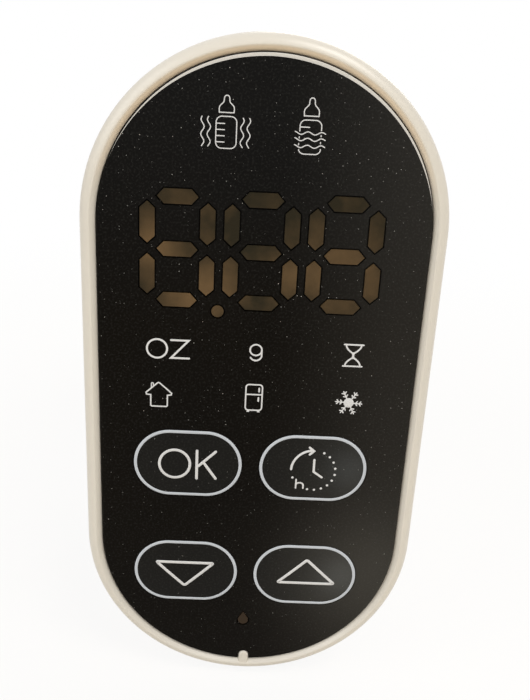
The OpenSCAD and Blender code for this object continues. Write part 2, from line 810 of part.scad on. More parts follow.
module battery_contacts() color(copper) on_face() for (s = [-1, 1], e = [-1, 1])
    translate([s * cell_x, cell_y + e * (cell_l + contact_t) / 2, contact_z])
        cube([contact_d, contact_t, contact_d], center = true);

module charge_board() color(board_green) on_face() difference() {
    translate([charge_board_in, port_y - charge_board_w / 2, charge_board_front - board_t])
        cube([charge_board_out - charge_board_in, charge_board_w, board_t]);
    for (s = [-1, 1])
        translate([charge_screw_x, port_y + s * charge_screw_y, charge_board_front - board_t - past])
            cylinder(d = charge_screw_d + 4 * pin_fit, h = board_t + 2 * past);
}

module charge_screws() color(steel) on_face() for (s = [-1, 1])
    translate([charge_screw_x, port_y + s * charge_screw_y, charge_board_front]) mirror([0, 0, 1])
        screw(charge_screw_d, charge_screw_l, small_head[0], small_head[1]);

module charge_socket() color(steel) on_face() translate([socket_mouth - socket_l, port_y, port_z])
    rotate([0, 90, 0]) difference() {
        linear_extrude(socket_l) pill(socket_t, socket_w);
        translate([0, 0, socket_back])
            linear_extrude(socket_l) pill(socket_t - 2 * socket_wall, socket_w - 2 * socket_wall);
    }

module port_flap() color(dark_grey) on_face() difference() {
    union() {
        translate([face_r - flap_sunk - flap_t, port_y - flap_l / 2, hinge_z])
            cube([flap_t, flap_l, flap_reach]);
        translate([hinge_x, port_y, hinge_z]) rotate([90, 0, 0])
            cylinder(d = barrel_d, h = flap_l, center = true);
    }
    translate([hinge_x, port_y, hinge_z]) rotate([90, 0, 0])
        cylinder(d = flap_pin_d + 4 * pin_fit, h = flap_l + 2 * past, center = true);
}

module flap_pin() color(steel) on_face() translate([hinge_x, port_y, hinge_z]) rotate([90, 0, 0])
    cylinder(d = flap_pin_d, h = flap_l + 2 * flap_gap + 2 * flap_pin_seat, center = true);

module power_switch() color(dark_grey) on_face() difference() {
    translate([-slide_wall_in, port_y - slide_body[1] / 2, port_z - slide_body[2] / 2]) cube(slide_body);
    translate([-slide_wall_in - past, port_y - (stem_l + knob_travel) / 2 - fit, port_z - stem_w / 2 - fit])
        cube([past + slide_wall_in - stem_in + fit, stem_l + knob_travel + 2 * fit, stem_w + 2 * fit]);
}

// Knob with grip ribs on a stem that reaches into the switch, at the lower end of its travel
module switch_slider() color(black) on_face() translate([0, port_y - knob_travel / 2, port_z]) {
    translate([-face_r - knob_proud, -knob_l / 2, -knob_w / 2]) difference() {
        cube([knob_t, knob_l, knob_w]);
        for (i = [-1 : 1]) translate([0, knob_l / 2 + i * knob_l / 4, knob_w / 2])
            cylinder(r = knob_proud, h = knob_w + past, center = true);
    }
    translate([-face_r + knob_deep - fit - bite, -stem_l / 2, -stem_w / 2])
        cube([face_r - knob_deep + fit + bite - stem_in, stem_l, stem_w]);
}

module joining_screws() color(steel) on_face() for (p = join_places)
    translate([p[0], p[1], pod_floor]) mirror([0, 0, 1])
        screw(join_screw_d, pod_wall + join_grip, join_head_d, join_head_h);

module pod_foot() color(dark_grey) translate([-pod_foot_w / 2, front_y + pod_foot_deep, 0])
    cube([pod_foot_w, pod_foot_l, pod_foot_top]);

module wire_grommet() color(dark_grey) on_face() translate([0, harness_face_y, pod_floor]) difference() {
    union() {
        cylinder(d = grommet_flange_d, h = grommet_flange_t);
        translate([0, 0, -pod_wall - cup_gap - cup_wall])
            cylinder(d = grommet_d, h = pod_wall + cup_gap + cup_wall + bite);
    }
    translate([0, 0, -pod_depth])
        cylinder(d = harness_d + 2 * pin_fit, h = pod_depth + grommet_flange_t + past);
}

module wire_harness() color(black) {
    start_y = front_y - board_back + plug_size[2];
    end_y = cup_y + plug_y;
    translate([0, start_y, harness_z]) rotate([-90, 0, 0]) cylinder(d = harness_d, h = end_y - start_y);
    translate([0, end_y, harness_z]) sphere(d = harness_d);
    translate([0, end_y, power_board_top + plug_size[2]])
        cylinder(d = harness_d, h = harness_z - power_board_top - plug_size[2]);
}

module cup_shell() color(cream) difference() {
    union() {
        at_cup() {
            rotate_extrude() difference() {
                union() {
                    translate([cup_in_r, foot_h]) square([cup_wall, shell_top - foot_h]);
                    translate([shell_lip_r, shell_top - shell_lip_h])
                        square([cup_r - shell_lip_r, shell_lip_h]);
                }
                edge_off(cup_r, foot_h, cup_round, 1, -1);
            }
            ring_of(4, 45, base_boss_place) translate([0, 0, cover_top])
                cylinder(d = base_boss_d, h = base_boss_h);
        }
        difference() {
            on_face() for (p = join_places) translate([p[0], p[1], pod_back - cup_r])
                cylinder(d = join_boss_d, h = cup_r);
            at_cup() cylinder(r = cup_r - cup_wall / 2, h = cup_h);
        }
    }
    at_cup() ring_of(4, 45, base_boss_place) translate([0, 0, cover_top - past])
        cylinder(d = base_screw_d + 2 * pin_fit, h = base_screw_l);
    on_face() {
        for (p = join_places) translate([p[0], p[1], pod_back - join_grip - bite])
            cylinder(d = join_screw_d + 2 * pin_fit, h = join_grip + bite + past);
        translate([0, harness_face_y, pod_back - cup_r]) cylinder(d = grommet_d + 2 * pin_fit, h = cup_r);
    }
}

module rim_ring() color(cream) at_cup() rotate_extrude() difference() {
    union() {
        translate([rim_ring_in, flange_top]) square([cup_r - rim_ring_in, cup_h - flange_top]);
        translate([flange_r + fit, shell_top]) square([cup_r - flange_r - fit, cup_h - shell_top - past]);
    }
    edge_off(cup_r, cup_h, rim_ring_round, 1, 1);
    edge_off(rim_ring_in, cup_h, rim_ring_round / 1.5, -1, 1);
    translate([cup_r - seam, shell_top - past]) square([seam + past, seam + past]);
}

module cup_gasket() color(dark_grey) at_cup() rotate_extrude()
    translate([shell_lip_r, shell_top]) square([flange_r - shell_lip_r, seal_t]);

module heating_cup() color(steel) at_cup() rotate_extrude() {
    difference() {
        tub_section(liner_r, liner_under, flange_top, well_round + liner_t);
        tub_section(well_r, well_floor, flange_top + past, well_round);
    }
    translate([liner_r - liner_t / 2, flange_z]) square([flange_r - liner_r + liner_t / 2, liner_t]);
}

module insulation_sleeve() color("#cfcac0") at_cup() rotate_extrude()
    translate([liner_r + sleeve_gap, plate_under]) square([sleeve_t, shell_top - shell_lip_h - plate_under]);

module heater_plate() color(steel) at_cup() difference() {
    union() {
        translate([0, 0, plate_under]) cylinder(d = plate_d, h = plate_t);
        ring_of(post_count, post_turn, post_place) translate([0, 0, plate_under - post_l])
            cylinder(d = post_d, h = post_l + bite);
    }
    rotate_extrude() translate([element_ring_d / 2, element_z]) circle(d = element_d + 2 * pin_fit);
    translate([0, 0, plate_under - past]) cylinder(d = probe_d + 2 * pin_fit, h = plate_t + 2 * past);
    ring_of(post_count, post_turn, post_place) translate([0, 0, plate_under - post_l - past])
        cylinder(d = shield_screw_d + 2 * pin_fit, h = post_l + past + 1.5);
}

module heating_element() color(copper) at_cup() rotate_extrude()
    translate([element_ring_d / 2, element_z]) circle(d = element_d);

// Both leads stand under the element's ring
module at_leads() for (s = [-1, 1]) rotate(s * lead_turn) translate([element_ring_d / 2, 0, 0]) children();

module heater_leads() color("#c9533f") at_cup() at_leads() translate([0, 0, power_board_top])
    cylinder(d = lead_d, h = element_z - element_d / 2 - lead_end_gap - power_board_top);

module temperature_probe() color(steel) at_cup() {
    translate([0, 0, plate_under - probe_flange_t]) cylinder(d = probe_d, h = plate_t + probe_flange_t);
    translate([0, 0, plate_under - probe_flange_t]) cylinder(d = probe_flange_d, h = probe_flange_t);
}

module thermal_fuse() color(copper) at_cup() translate([0, fuse_y, plate_under - fuse_d / 2 - pin_fit])
    rotate([0, 90, 0]) cylinder(d = fuse_d, h = fuse_l, center = true);

module heat_shield() color(steel) at_cup() difference() {
    union() {
        translate([0, 0, shield_z]) cylinder(r = shield_r, h = shield_t);
        translate([0, 0, shield_z]) difference() {
            cylinder(r = shield_r, h = shield_lip);
            translate([0, 0, -past]) cylinder(r = shield_r - shield_t, h = shield_lip + 2 * past);
        }
    }
    at_leads() translate([0, 0, shield_z - past]) cylinder(d = 2.2 * lead_d, h = shield_t + 2 * past);
    ring_of(post_count, post_turn, post_place) translate([0, 0, shield_z - past])
        cylinder(d = shield_screw_d + 4 * pin_fit, h = shield_t + 2 * past);
}

module shield_screws() color(steel) at_cup() ring_of(post_count, post_turn, post_place)
    translate([0, 0, shield_z]) screw(shield_screw_d, shield_t + post_l, mid_head[0], mid_head[1]);

module power_board() color(board_green) at_cup() difference() {
    translate([0, 0, power_board_z]) cylinder(d = power_board_d, h = board_t);
    ring_of(post_count, post_turn, power_post_place) translate([0, 0, power_board_z - past])
        cylinder(d = power_screw_d + 4 * pin_fit, h = board_t + 2 * past);
}

// Plug for the wires, two capacitors, a coil and a chip with its cooling block
module power_parts() color(dark_grey) at_cup() translate([0, 0, power_board_top]) {
    translate([-plug_size[0] / 2, plug_y - plug_size[1] / 2, 0]) cube(plug_size);
    for (s = [-1, 1]) translate([s * capacitor_place[0], capacitor_place[1], 0])
        cylinder(d = capacitor[0], h = capacitor[1]);
    translate(coil_place) difference() {
        cylinder(d = coil[0], h = coil[1]);
        translate([0, 0, coil[1] - coil_bore[1]]) cylinder(d = coil_bore[0], h = coil_bore[1] + past);
    }
    translate(chip_place) cube(chip_block);
}

module power_board_screws() color(steel) at_cup() ring_of(post_count, post_turn, power_post_place)
    translate([0, 0, power_board_top]) mirror([0, 0, 1])
        screw(power_screw_d, power_screw_l, mid_head[0], mid_head[1]);

module base_cover() color(cream) at_cup() difference() {
    union() {
        translate([0, 0, foot_h]) cylinder(r = cover_r, h = cover_t);
        ring_of(post_count, post_turn, power_post_place) translate([0, 0, cover_top - bite])
            cylinder(d = power_post_d, h = power_board_lift + bite);
    }
    ring_of(post_count, post_turn, power_post_place)
        translate([0, 0, power_board_top - power_screw_l - bite])
            cylinder(d = power_screw_d + 2 * pin_fit, h = power_screw_l);
    ring_of(4, 45, base_boss_place) translate([0, 0, foot_h - past]) {
        cylinder(d = base_screw_d + 4 * pin_fit, h = cover_t + 2 * past);
        cylinder(d = base_head_d + 2 * fit, h = past + base_head_h + base_head_sunk);
    }
    ring_of(4, 0, foot_place) translate([0, 0, foot_h - past])
        cylinder(d = foot_d + 2 * fit, h = past + foot_sunk);
}

module base_screws() color(steel) at_cup() ring_of(4, 45, base_boss_place)
    translate([0, 0, foot_h + base_head_h + base_head_sunk])
        screw(base_screw_d, base_screw_l, base_head_d, base_head_h);

module feet() color(dark_grey) at_cup() ring_of(4, 0, foot_place)
    cylinder(d = foot_d, h = foot_h + foot_sunk);

// Section of the basket's cup, with a chamfered lower edge
module basket_section() difference() {
    polygon([
        [0, basket_z], [basket_r - basket_chamfer, basket_z], [basket_r, basket_z + basket_chamfer],
        [basket_r, basket_top], [0, basket_top]
    ]);
    translate([-past, basket_z + basket_floor_t]) square([basket_in_r + past, basket_h]);
}

// Two tabs that rise past the rim and end in a grip
module basket_tabs() intersection() {
    rotate_extrude() {
        translate([basket_in_r, basket_top - bite]) square([basket_wall, tab_top - basket_top + bite]);
        translate([basket_in_r, tab_top - tab_grip_t]) square([basket_wall + tab_grip, tab_grip_t]);
    }
    translate([-cup_r, -tab_w / 2, 0]) cube([cup_d, tab_w, tab_top + past]);
}

module bottle_basket() color("#e9e6df") at_cup() {
    difference() {
        union() {
            rotate_extrude() basket_section();
            basket_tabs();
        }
        ring_of(slot_count, 180 / slot_count, basket_in_r - past)
            translate([0, 0, basket_z + basket_h / 2]) rotate([0, 90, 0])
                linear_extrude(basket_wall + 2 * past) pill(slot_l, slot_w);
        for (ring = [0 : 2]) ring_of(max(1, 6 * ring), 0, drain_pitch * ring)
            translate([0, 0, basket_z - past]) cylinder(d = drain_d, h = basket_floor_t + 2 * past);
    }
    ring_of(3, basket_foot_turn, basket_foot_place) translate([0, 0, well_floor])
        cylinder(d = basket_foot_d, h = basket_foot + bite);
}

front_panel();
bezel();
segment_windows();
key_ok();
key_timer();
key_down();
key_up();
display_film();
display_box();
control_board();
key_switches();
indicator_leds();
buzzer();
board_screws();
pod_shell();
bezel_screws();
battery_cell_1();
battery_cell_2();
battery_cradle();
battery_contacts();
charge_board();
charge_screws();
charge_socket();
port_flap();
flap_pin();
power_switch();
switch_slider();
joining_screws();
pod_foot();
wire_grommet();
wire_harness();
cup_shell();
rim_ring();
cup_gasket();
heating_cup();
insulation_sleeve();
heater_plate();
heating_element();
heater_leads();
temperature_probe();
thermal_fuse();
heat_shield();
shield_screws();
power_board();
power_parts();
power_board_screws();
base_cover();
base_screws();
feet();
bottle_basket();
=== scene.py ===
# %% [markdown]
# # A portable bottle warmer
# The warmer stands upright. A pill-shaped control pod with a black face is in front of a round heated cup.
# The CAD model gives the sizes and the moving bodies. This lesson dresses it: it builds the parts that need
# a finer shape, prints the signs on the face, and gives every part a finish.

# %% Load the frame
import json
import math
from functools import partial

import bmesh
import bpy
import numpy as np
from mathutils import Matrix, Vector


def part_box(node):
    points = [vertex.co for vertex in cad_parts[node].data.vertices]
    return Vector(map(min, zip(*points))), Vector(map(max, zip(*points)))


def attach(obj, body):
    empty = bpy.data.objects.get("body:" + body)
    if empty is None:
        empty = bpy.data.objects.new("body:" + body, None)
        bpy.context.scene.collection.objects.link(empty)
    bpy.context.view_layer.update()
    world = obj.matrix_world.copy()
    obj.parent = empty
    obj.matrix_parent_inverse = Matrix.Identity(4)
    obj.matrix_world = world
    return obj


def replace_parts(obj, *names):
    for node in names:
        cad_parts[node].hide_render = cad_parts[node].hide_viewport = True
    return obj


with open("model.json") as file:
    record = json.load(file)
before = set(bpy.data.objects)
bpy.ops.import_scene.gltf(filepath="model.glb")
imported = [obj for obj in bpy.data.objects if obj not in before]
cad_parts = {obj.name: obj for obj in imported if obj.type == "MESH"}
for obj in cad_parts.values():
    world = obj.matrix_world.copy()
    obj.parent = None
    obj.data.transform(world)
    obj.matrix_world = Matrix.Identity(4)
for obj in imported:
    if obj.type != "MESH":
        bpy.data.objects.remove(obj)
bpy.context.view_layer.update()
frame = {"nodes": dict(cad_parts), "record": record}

nodes = frame["nodes"]
scene = bpy.context.scene

# %% [markdown]
# ## A frame for the face
# Everything on the face is easier to place in millimetres from its middle: x to the right, y up and z out
# towards the viewer, with z = 0 at the rim's crest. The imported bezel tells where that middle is. One
# function then takes whole arrays of such points into the world, in metres.

# %% Face frame
MM = 0.001
bezel_low, bezel_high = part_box("bezel")
FACE_Y = bezel_low.y
FACE_Z = (bezel_low.z + bezel_high.z) / 2
FACE_R = (bezel_high.x - bezel_low.x) / 2 / MM
RUN = (bezel_high.z - bezel_low.z) / MM - 2 * FACE_R
SHEET_Z = -0.35


def on_face(x, y, z):
    """World point of a face point: x stays, the outward height z runs against Y, and y runs up Z."""
    x, y, z = np.broadcast_arrays(x, y, z)
    return np.stack([x * MM, FACE_Y - z * MM, FACE_Z + y * MM], axis=-1)


print(f"face radius {FACE_R:.2f} mm, straight run {RUN:.1f} mm, middle {FACE_Z / MM:.1f} mm above the table")

# %% [markdown]
# ## From grids of points to pieces
# A surface is a grid of points, worked out as one array. Neighbours in the grid make the faces, and a loop
# joins the last row to the first. Points that meet are welded, and the faces are turned outwards. Edges
# sharper than a given angle stay crisp, and the rest is shaded smooth.

# %% Mesh tools


def grid_faces(rows, columns, loop_rows, loop_columns):
    """Four-sided faces between neighbours of a grid, counted row by row."""
    first = np.arange(rows * columns).reshape(rows, columns)
    below = np.roll(first, -1, axis=0)
    corners = np.stack([first, below, np.roll(below, -1, axis=1), np.roll(first, -1, axis=1)], axis=-1)
    return corners[:rows - 1 + loop_rows, :columns - 1 + loop_columns].reshape(-1, 4)


def finish_mesh(mesh, sharp, weld=1e-7, outwards=True):
    """Welds points that meet, turns the faces outwards if asked, and keeps edges sharper than an angle."""
    work = bmesh.new()
    work.from_mesh(mesh)
    bmesh.ops.remove_doubles(work, verts=work.verts, dist=weld)
    if outwards:
        bmesh.ops.dissolve_degenerate(work, edges=work.edges, dist=1e-8)
        bmesh.ops.recalc_face_normals(work, faces=work.faces)
    work.to_mesh(mesh)
    work.free()
    mesh.polygons.foreach_set("use_smooth", np.ones(len(mesh.polygons), bool))
    mesh.set_sharp_from_angle(angle=math.radians(sharp))


def grid_mesh(name, grids, sharp):
    """One mesh from several grids, each given as (points, loop_rows, loop_columns)."""
    points = [grid.reshape(-1, 3) for grid, *loops in grids]
    starts = np.cumsum([0, *map(len, points)])
    faces = [grid_faces(*grid.shape[:2], *loops) + start for (grid, *loops), start in zip(grids, starts)]
    mesh = bpy.data.meshes.new(name)
    mesh.from_pydata(np.concatenate(points).tolist(), [], np.concatenate(faces).tolist())
    finish_mesh(mesh, sharp)
    return mesh


def add_object(name, data):
    """Puts a mesh, a lamp or a camera into the scene."""
    thing = bpy.data.objects.new(name, data)
    scene.collection.objects.link(thing)
    return thing


def add_piece(name, mesh, material, body):
    """A mesh as a piece that moves with a CAD body and takes a slot's finish."""
    thing = add_object(name, mesh)
    mesh.materials.append(material)
    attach(thing, body)
    print(f"{name}: {len(mesh.polygons)} faces")
    return thing


def make_piece(name, grids, material, body, sharp):
    """A piece made of grids."""
    return add_piece(name, grid_mesh(name, grids, sharp), material, body)


print("mesh tools are ready")

# %% [markdown]
# Some parts keep their CAD shape, which comes as long thin triangles. Averaged normals would look crumpled
# there, so a copy of such a part takes its normals from the formula of the surface that it stands for.

# %% Smooth copies
AGREES = 0.96
LEVEL = 0.99999


def read(items, label, columns=1, kind=float):
    """One property of many items as an array, a row for each."""
    values = np.empty(len(items) * columns, kind)
    items.foreach_get(label, values)
    return values.reshape(-1, columns)


def true_normals(mesh, direction):
    """Corner normals: the formula's direction where a face agrees with it, a level face's own normal."""
    corners = read(mesh.polygons, "loop_total", kind=int)[:, 0]
    face = np.repeat(read(mesh.polygons, "normal", 3), corners, axis=0)
    exact = direction(read(mesh.vertices, "co", 3))[read(mesh.loops, "vertex_index", kind=int)[:, 0]]
    agree = (exact * face).sum(1, keepdims=True)
    own = np.where(np.abs(face).max(1, keepdims=True) > LEVEL, face, 0.0)
    mesh.normals_split_custom_set(np.where(np.abs(agree) > AGREES, exact * np.sign(agree), own).tolist())


def smooth_copy(name, node, material, body, direction):
    """A CAD node's shape, welded and shaded by a formula, in place of the node's loose triangles."""
    mesh = nodes[node].data.copy()
    mesh.name = name
    mesh.materials.clear()
    finish_mesh(mesh, 30, weld=1e-6, outwards=False)
    true_normals(mesh, direction)
    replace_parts(add_piece(name, mesh, material, body), node)


print("copies can be made")

# %% [markdown]
# ## Paths and profiles
# Most of this part is a profile carried round a pill or an upright axis. A path holds a spine point and an
# outward direction for each step. A profile holds distances from the spine and heights. Adding one to the
# other gives the whole grid at once.

# %% Paths and profiles
HALF_TURN = np.linspace(0, np.pi, 73)


def pill_path(run, lying=False):
    """Once round a pill: half circles of outward directions about the two ends of its spine."""
    half = np.stack([np.cos(HALF_TURN), np.sin(HALF_TURN)], 1)
    out = np.concatenate([half, -half])
    spine = np.repeat([[0, run / 2], [0, -run / 2]], len(half), axis=0)
    if lying:
        spine, out = spine[:, ::-1] * [1, -1], out[:, ::-1] * [1, -1]
    return spine, out


def carry(profile, path, centre=(0, 0)):
    """Grid of face points: spine point plus distance times outward direction, at the profile's height."""
    spine, out = path
    flat = centre + spine[:, None] + out[:, None] * profile[:, :1]
    return on_face(flat[..., 0], flat[..., 1], profile[:, 1])


def arc(centre, radius, first, last, count):
    """Points of an arc from one angle to another; two radii make it a part of an ellipse."""
    a = np.radians(np.linspace(first, last, count))
    return centre + radius * np.stack([np.cos(a), np.sin(a)], 1)


def soft_corner(before, corner, after, count=6):
    """Rounds a corner: each point is a blend of the three, weighted as (1-t)^2, 2t(1-t) and t^2."""
    t = np.linspace(0, 1, count)[:, None]
    return (1 - t) ** 2 * before + 2 * t * (1 - t) * corner + t**2 * after


def spin(profile, turns, axis):
    """Grid about an axis: the profile's radius turned through a full circle, at its height."""
    a = np.linspace(0, 2 * np.pi, turns, endpoint=False)[:, None]
    r, z = np.asarray(profile).T
    x = axis[0] + r * np.cos(a)
    return np.stack([x, axis[1] + r * np.sin(a), np.broadcast_to(z, x.shape)], axis=-1)


ring_low, ring_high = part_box("rim_ring")
CUP_Y = (ring_low.y + ring_high.y) / 2
CUP_R = (ring_high.x - ring_low.x) / 2 / MM
CUP_AXIS = (0, CUP_Y / MM)
CUP_TURNS = 160
print(f"cup axis at y = {CUP_Y / MM:.2f} mm, radius {CUP_R:.1f} mm")

# %% [markdown]
# ## Tools for finishes
# A finish is a graph of nodes. These helpers add one node each and hand on its result. A value may be a
# number, a colour of three numbers, or the output of another node.

# %% Sums
SOCKET = bpy.types.NodeSocket


def feed(socket, value):
    """Links an output to a socket or sets a plain value on it. A colour gets its fourth number here."""
    if isinstance(value, SOCKET):
        socket.id_data.links.new(value, socket)
    else:
        socket.default_value = (*value, 1) if socket.type == "RGBA" else value


def add_node(kind, links, tree=None, **settings):
    """The outputs of a new node, its inputs fed from {socket: value}. A linked value tells the tree."""
    if tree is None:
        tree = next(value.id_data for value in links.values() if isinstance(value, SOCKET))
    made = tree.nodes.new("ShaderNode" + kind)
    for label, value in settings.items():
        setattr(made, label, value)
    for label, value in links.items():
        feed(made.inputs[label], value)
    return made.outputs


def calc(operation, first, second=0.0, clamp=False):
    """The result of a calculation with two values."""
    return add_node("Math", {0: first, 1: second}, operation=operation, use_clamp=clamp)[0]


plus, minus, times, divide, larger, smaller, is_less = [
    partial(calc, operation)
    for operation in ("ADD", "SUBTRACT", "MULTIPLY", "DIVIDE", "MAXIMUM", "MINIMUM", "LESS_THAN")
]


def square(value):
    """A value times itself."""
    return calc("POWER", value, 2.0)


def length(first, second):
    """The root of the sum of two squares."""
    return calc("SQRT", plus(square(first), square(second)))


print("sums are ready")

# %% Masks and colours


def here(tree):
    """The shaded point, in metres of the piece's own frame."""
    return add_node("TexCoord", {}, tree)["Object"]


def split(vector):
    """The three numbers of a vector."""
    return add_node("SeparateXYZ", {0: vector})


def noise(place, scale, detail, **settings):
    """Cloudy noise between nought and one."""
    return add_node("TexNoise", {"Vector": place, "Scale": scale, "Detail": detail}, **settings)[0]


def ramp(value, first, last, low=0.0, high=1.0, smooth=False):
    """Goes from low to high while a value goes from first to last."""
    links = {"Value": value, "From Min": first, "From Max": last, "To Min": low, "To Max": high}
    return add_node("MapRange", links, interpolation_type="SMOOTHSTEP" if smooth else "LINEAR")[0]


def mix_colours(share, first, second):
    """A blend of two colours; this node keeps its colour sockets after those for numbers and vectors."""
    return add_node("Mix", {0: share, 6: first, 7: second}, data_type="RGBA")[2]


def soft_spot(place, centre, reach):
    """A spot that fades outwards: e to the power of minus the square of its distance over its reach."""
    away = add_node("VectorMath", {0: place, 1: centre.tolist()}, operation="DISTANCE")["Value"]
    return calc("EXPONENT", times(square(divide(away, reach)), -1.0))


def add_spots(place, amount, spots):
    """An amount plus soft spots on the face, each given as (x, y, reach, strength) in millimetres."""
    for x, y, reach, strength in spots:
        spot = soft_spot(place, on_face(x, y, SHEET_Z), reach * MM)
        amount = plus(amount, times(spot, strength))
    return amount


print("masks are ready")

# %% [markdown]
# ## Shared effects
# Moulded plastic is never one flat colour: it has a slight drift in shade, uneven gloss and a fine grain.
# Dust lies on the face as small pale specks, more of them near the top, over a finer film. A painted warm
# reflection lies on its right, and a painted cool one at the top. Turned steel has rings about its axis.
# Each effect is a node group with named inputs, so that every finish can use it with its own values. One
# more group only measures: it tells how far a point is from the face's spine, and in which direction.

# %% Node groups
FLOAT = "NodeSocketFloat"
COLOUR = "NodeSocketColor"


def new_group(name, **inputs):
    """A node group and what its inputs bring. A tuple makes a colour input, anything else a number."""
    tree = bpy.data.node_groups.new(name, "ShaderNodeTree")
    for label, value in inputs.items():
        colour = isinstance(value, tuple)
        made = tree.interface.new_socket(label, in_out="INPUT", socket_type=COLOUR if colour else FLOAT)
        made.default_value = (*value, 1) if colour else value
    return tree, tree.nodes.new("NodeGroupInput").outputs


def give(tree, **results):
    """Outputs of a node group, each fed with its result. One of them may be called Colour and is one."""
    for label in results:
        kind = COLOUR if label == "Colour" else FLOAT
        tree.interface.new_socket(label, in_out="OUTPUT", socket_type=kind)
    end = tree.nodes.new("NodeGroupOutput")
    for label, value in results.items():
        feed(end.inputs[label], value)
    print("node group", tree.name, "gives", list(results))


# %% Distance from the spine
SPINE_END = RUN / 2 * MM
spine_group, take = new_group("from_spine")
x, y, z = split(here(spine_group))
above = larger(minus(z, FACE_Z + SPINE_END), 0.0)
below = smaller(minus(z, FACE_Z - SPINE_END), 0.0)
over = plus(above, below)
away = length(x, over)
give(spine_group, Away=away, Upward=divide(over, away), Sideways=divide(x, away))

# %% Moulded grain
grain_group, take = new_group(
    "moulded_grain", Colour=(0.8, 0.8, 0.8), Drift=0.05, Gloss=0.4, Uneven=0.1, Grain=3000.0
)
place = here(grain_group)
wander = minus(noise(place, 45.0, 4.0), 0.5)
fine = noise(place, take["Grain"], 3.0)
shade = plus(times(wander, take["Drift"]), 1.0)
tinted = add_node("VectorMath", {0: take["Colour"], "Scale": shade}, operation="SCALE")[0]
uneven = plus(take["Gloss"], times(wander, take["Uneven"]))
give(grain_group, Colour=tinted, Roughness=uneven, Height=fine)

# %% Fine dust
dust_group, take = new_group(
    "fine_dust", Colour=(0.02, 0.02, 0.02), Dust=(0.5, 0.49, 0.46), Amount=0.5, Spacing=1300.0, Speck=0.1,
    Film=0.015,
)
x, y, z = split(here(dust_group))
flat = add_node("CombineXYZ", {0: x, 1: z})[0]
cells = add_node("TexVoronoi", {"Vector": flat, "Scale": take["Spacing"]}, voronoi_dimensions="2D")
chance, girth, tone = add_node("SeparateColor", {0: cells["Color"]})
inside = is_less(cells["Distance"], times(girth, take["Speck"]))
upper = ramp(z, FACE_Z - 0.05, FACE_Z + 0.05, 0.45, 1.0)
picked = is_less(chance, times(upper, take["Amount"]))
speck = times(inside, picked)
powder = ramp(noise(flat, 2300.0, 1.0, noise_dimensions="2D"), 0.5, 0.76)
film = times(powder, take["Film"])
shown = plus(times(speck, square(tone)), film)
give(dust_group, Colour=mix_colours(shown, take["Colour"], take["Dust"]), Specks=speck)

# %% Painted reflections
# Painted reflections: a warm one on the right and lower right of the face, a cool sky-coloured one at its
# top.
REFLECTION_SPOT = on_face(26.0, -42.0, 0.0)
REFLECTION_REACH = 0.016
painted_reflection_group, take = new_group(
    "painted_reflections", Colour=(0.01, 0.01, 0.01), Haze=(1, 0.95, 0.83), Sky=(0.6, 0.8, 1), Corner=0.026,
    Side=0.016, Top=0.004,
)
place = here(painted_reflection_group)
x, y, z = split(place)
near = soft_spot(place, REFLECTION_SPOT, REFLECTION_REACH)
right = ramp(x, 0.0, 0.034, smooth=True)
high_up = ramp(z, FACE_Z + 0.01, FACE_Z + 0.065, smooth=True)
amount = plus(times(near, take["Corner"]), times(right, take["Side"]))
warm_reflected = mix_colours(amount, take["Colour"], take["Haze"])
give(painted_reflection_group, Colour=mix_colours(times(high_up, take["Top"]), warm_reflected, take["Sky"]))

# %% Turned rings
ring_group, take = new_group("turned_rings", Gloss=0.3, Uneven=0.2, Lines=2500.0)
centred = add_node("Mapping", {"Vector": here(ring_group), "Location": (0, -CUP_Y, 0)})[0]
x, y, z = split(centred)
unrolled = add_node("CombineXYZ", {0: length(x, y), 2: z})[0]
lines = noise(unrolled, take["Lines"], 3.0)
uneven = times(minus(lines, 0.5), take["Uneven"])
give(ring_group, Roughness=plus(take["Gloss"], uneven), Height=lines)

# %% [markdown]
# ## Finishes
# The housing is satin cream plastic, the face a satin black sheet under a little dust, the windows smoky
# brown. A finish here is one shader with its effect in front of it. Values that are the same all over go
# straight onto the shader, so that they survive an export.

# %% Finish tools
GRAIN_DEPTH = 0.00002


def new_finish(name, metallic=0.0, specular=0.5):
    """A material, its node tree, and the inputs of its one shader with plain values on them."""
    material = bpy.data.materials.new(name)
    material.use_nodes = True
    shader = material.node_tree.nodes["Principled BSDF"].inputs
    shader["Metallic"].default_value = metallic
    shader["Specular IOR Level"].default_value = specular
    return material, material.node_tree, shader


def add_group(tree, group, **values):
    """The outputs of a node group that is placed in a material, with some of its inputs fed."""
    return add_node("Group", values, tree, node_tree=group)


def coat(shader, effect, bump=0.0, colour=None, gloss=None):
    """Feeds a shader with an effect's colour and gloss, or others, and its height as a bump if wanted."""
    feed(shader["Base Color"], effect["Colour"] if colour is None else colour)
    feed(shader["Roughness"], effect["Roughness"] if gloss is None else gloss)
    if bump:
        links = {"Strength": bump, "Distance": GRAIN_DEPTH, "Height": effect["Height"]}
        feed(shader["Normal"], add_node("Bump", links)[0])


def grained(
    name, colour, gloss, grain=3000.0, bump=0.15, drift=0.06, uneven=0.12, metallic=0.0, specular=0.5
):
    """Moulded plastic, rubber, paint or dull metal: colour and gloss drift over it, with a fine grain."""
    material, tree, shader = new_finish(name, metallic, specular)
    effect = add_group(
        tree, grain_group, Colour=colour, Drift=drift, Gloss=gloss, Uneven=uneven, Grain=grain
    )
    coat(shader, effect, bump)
    return material


def ringed(name, colour, gloss, lines):
    """Metal turned about the cup's axis: fine rings in its gloss and its surface."""
    material, tree, shader = new_finish(name, metallic=1.0)
    coat(shader, add_group(tree, ring_group, Gloss=gloss, Uneven=0.25, Lines=lines), 0.12, colour)
    return material


print("finishes can be made")

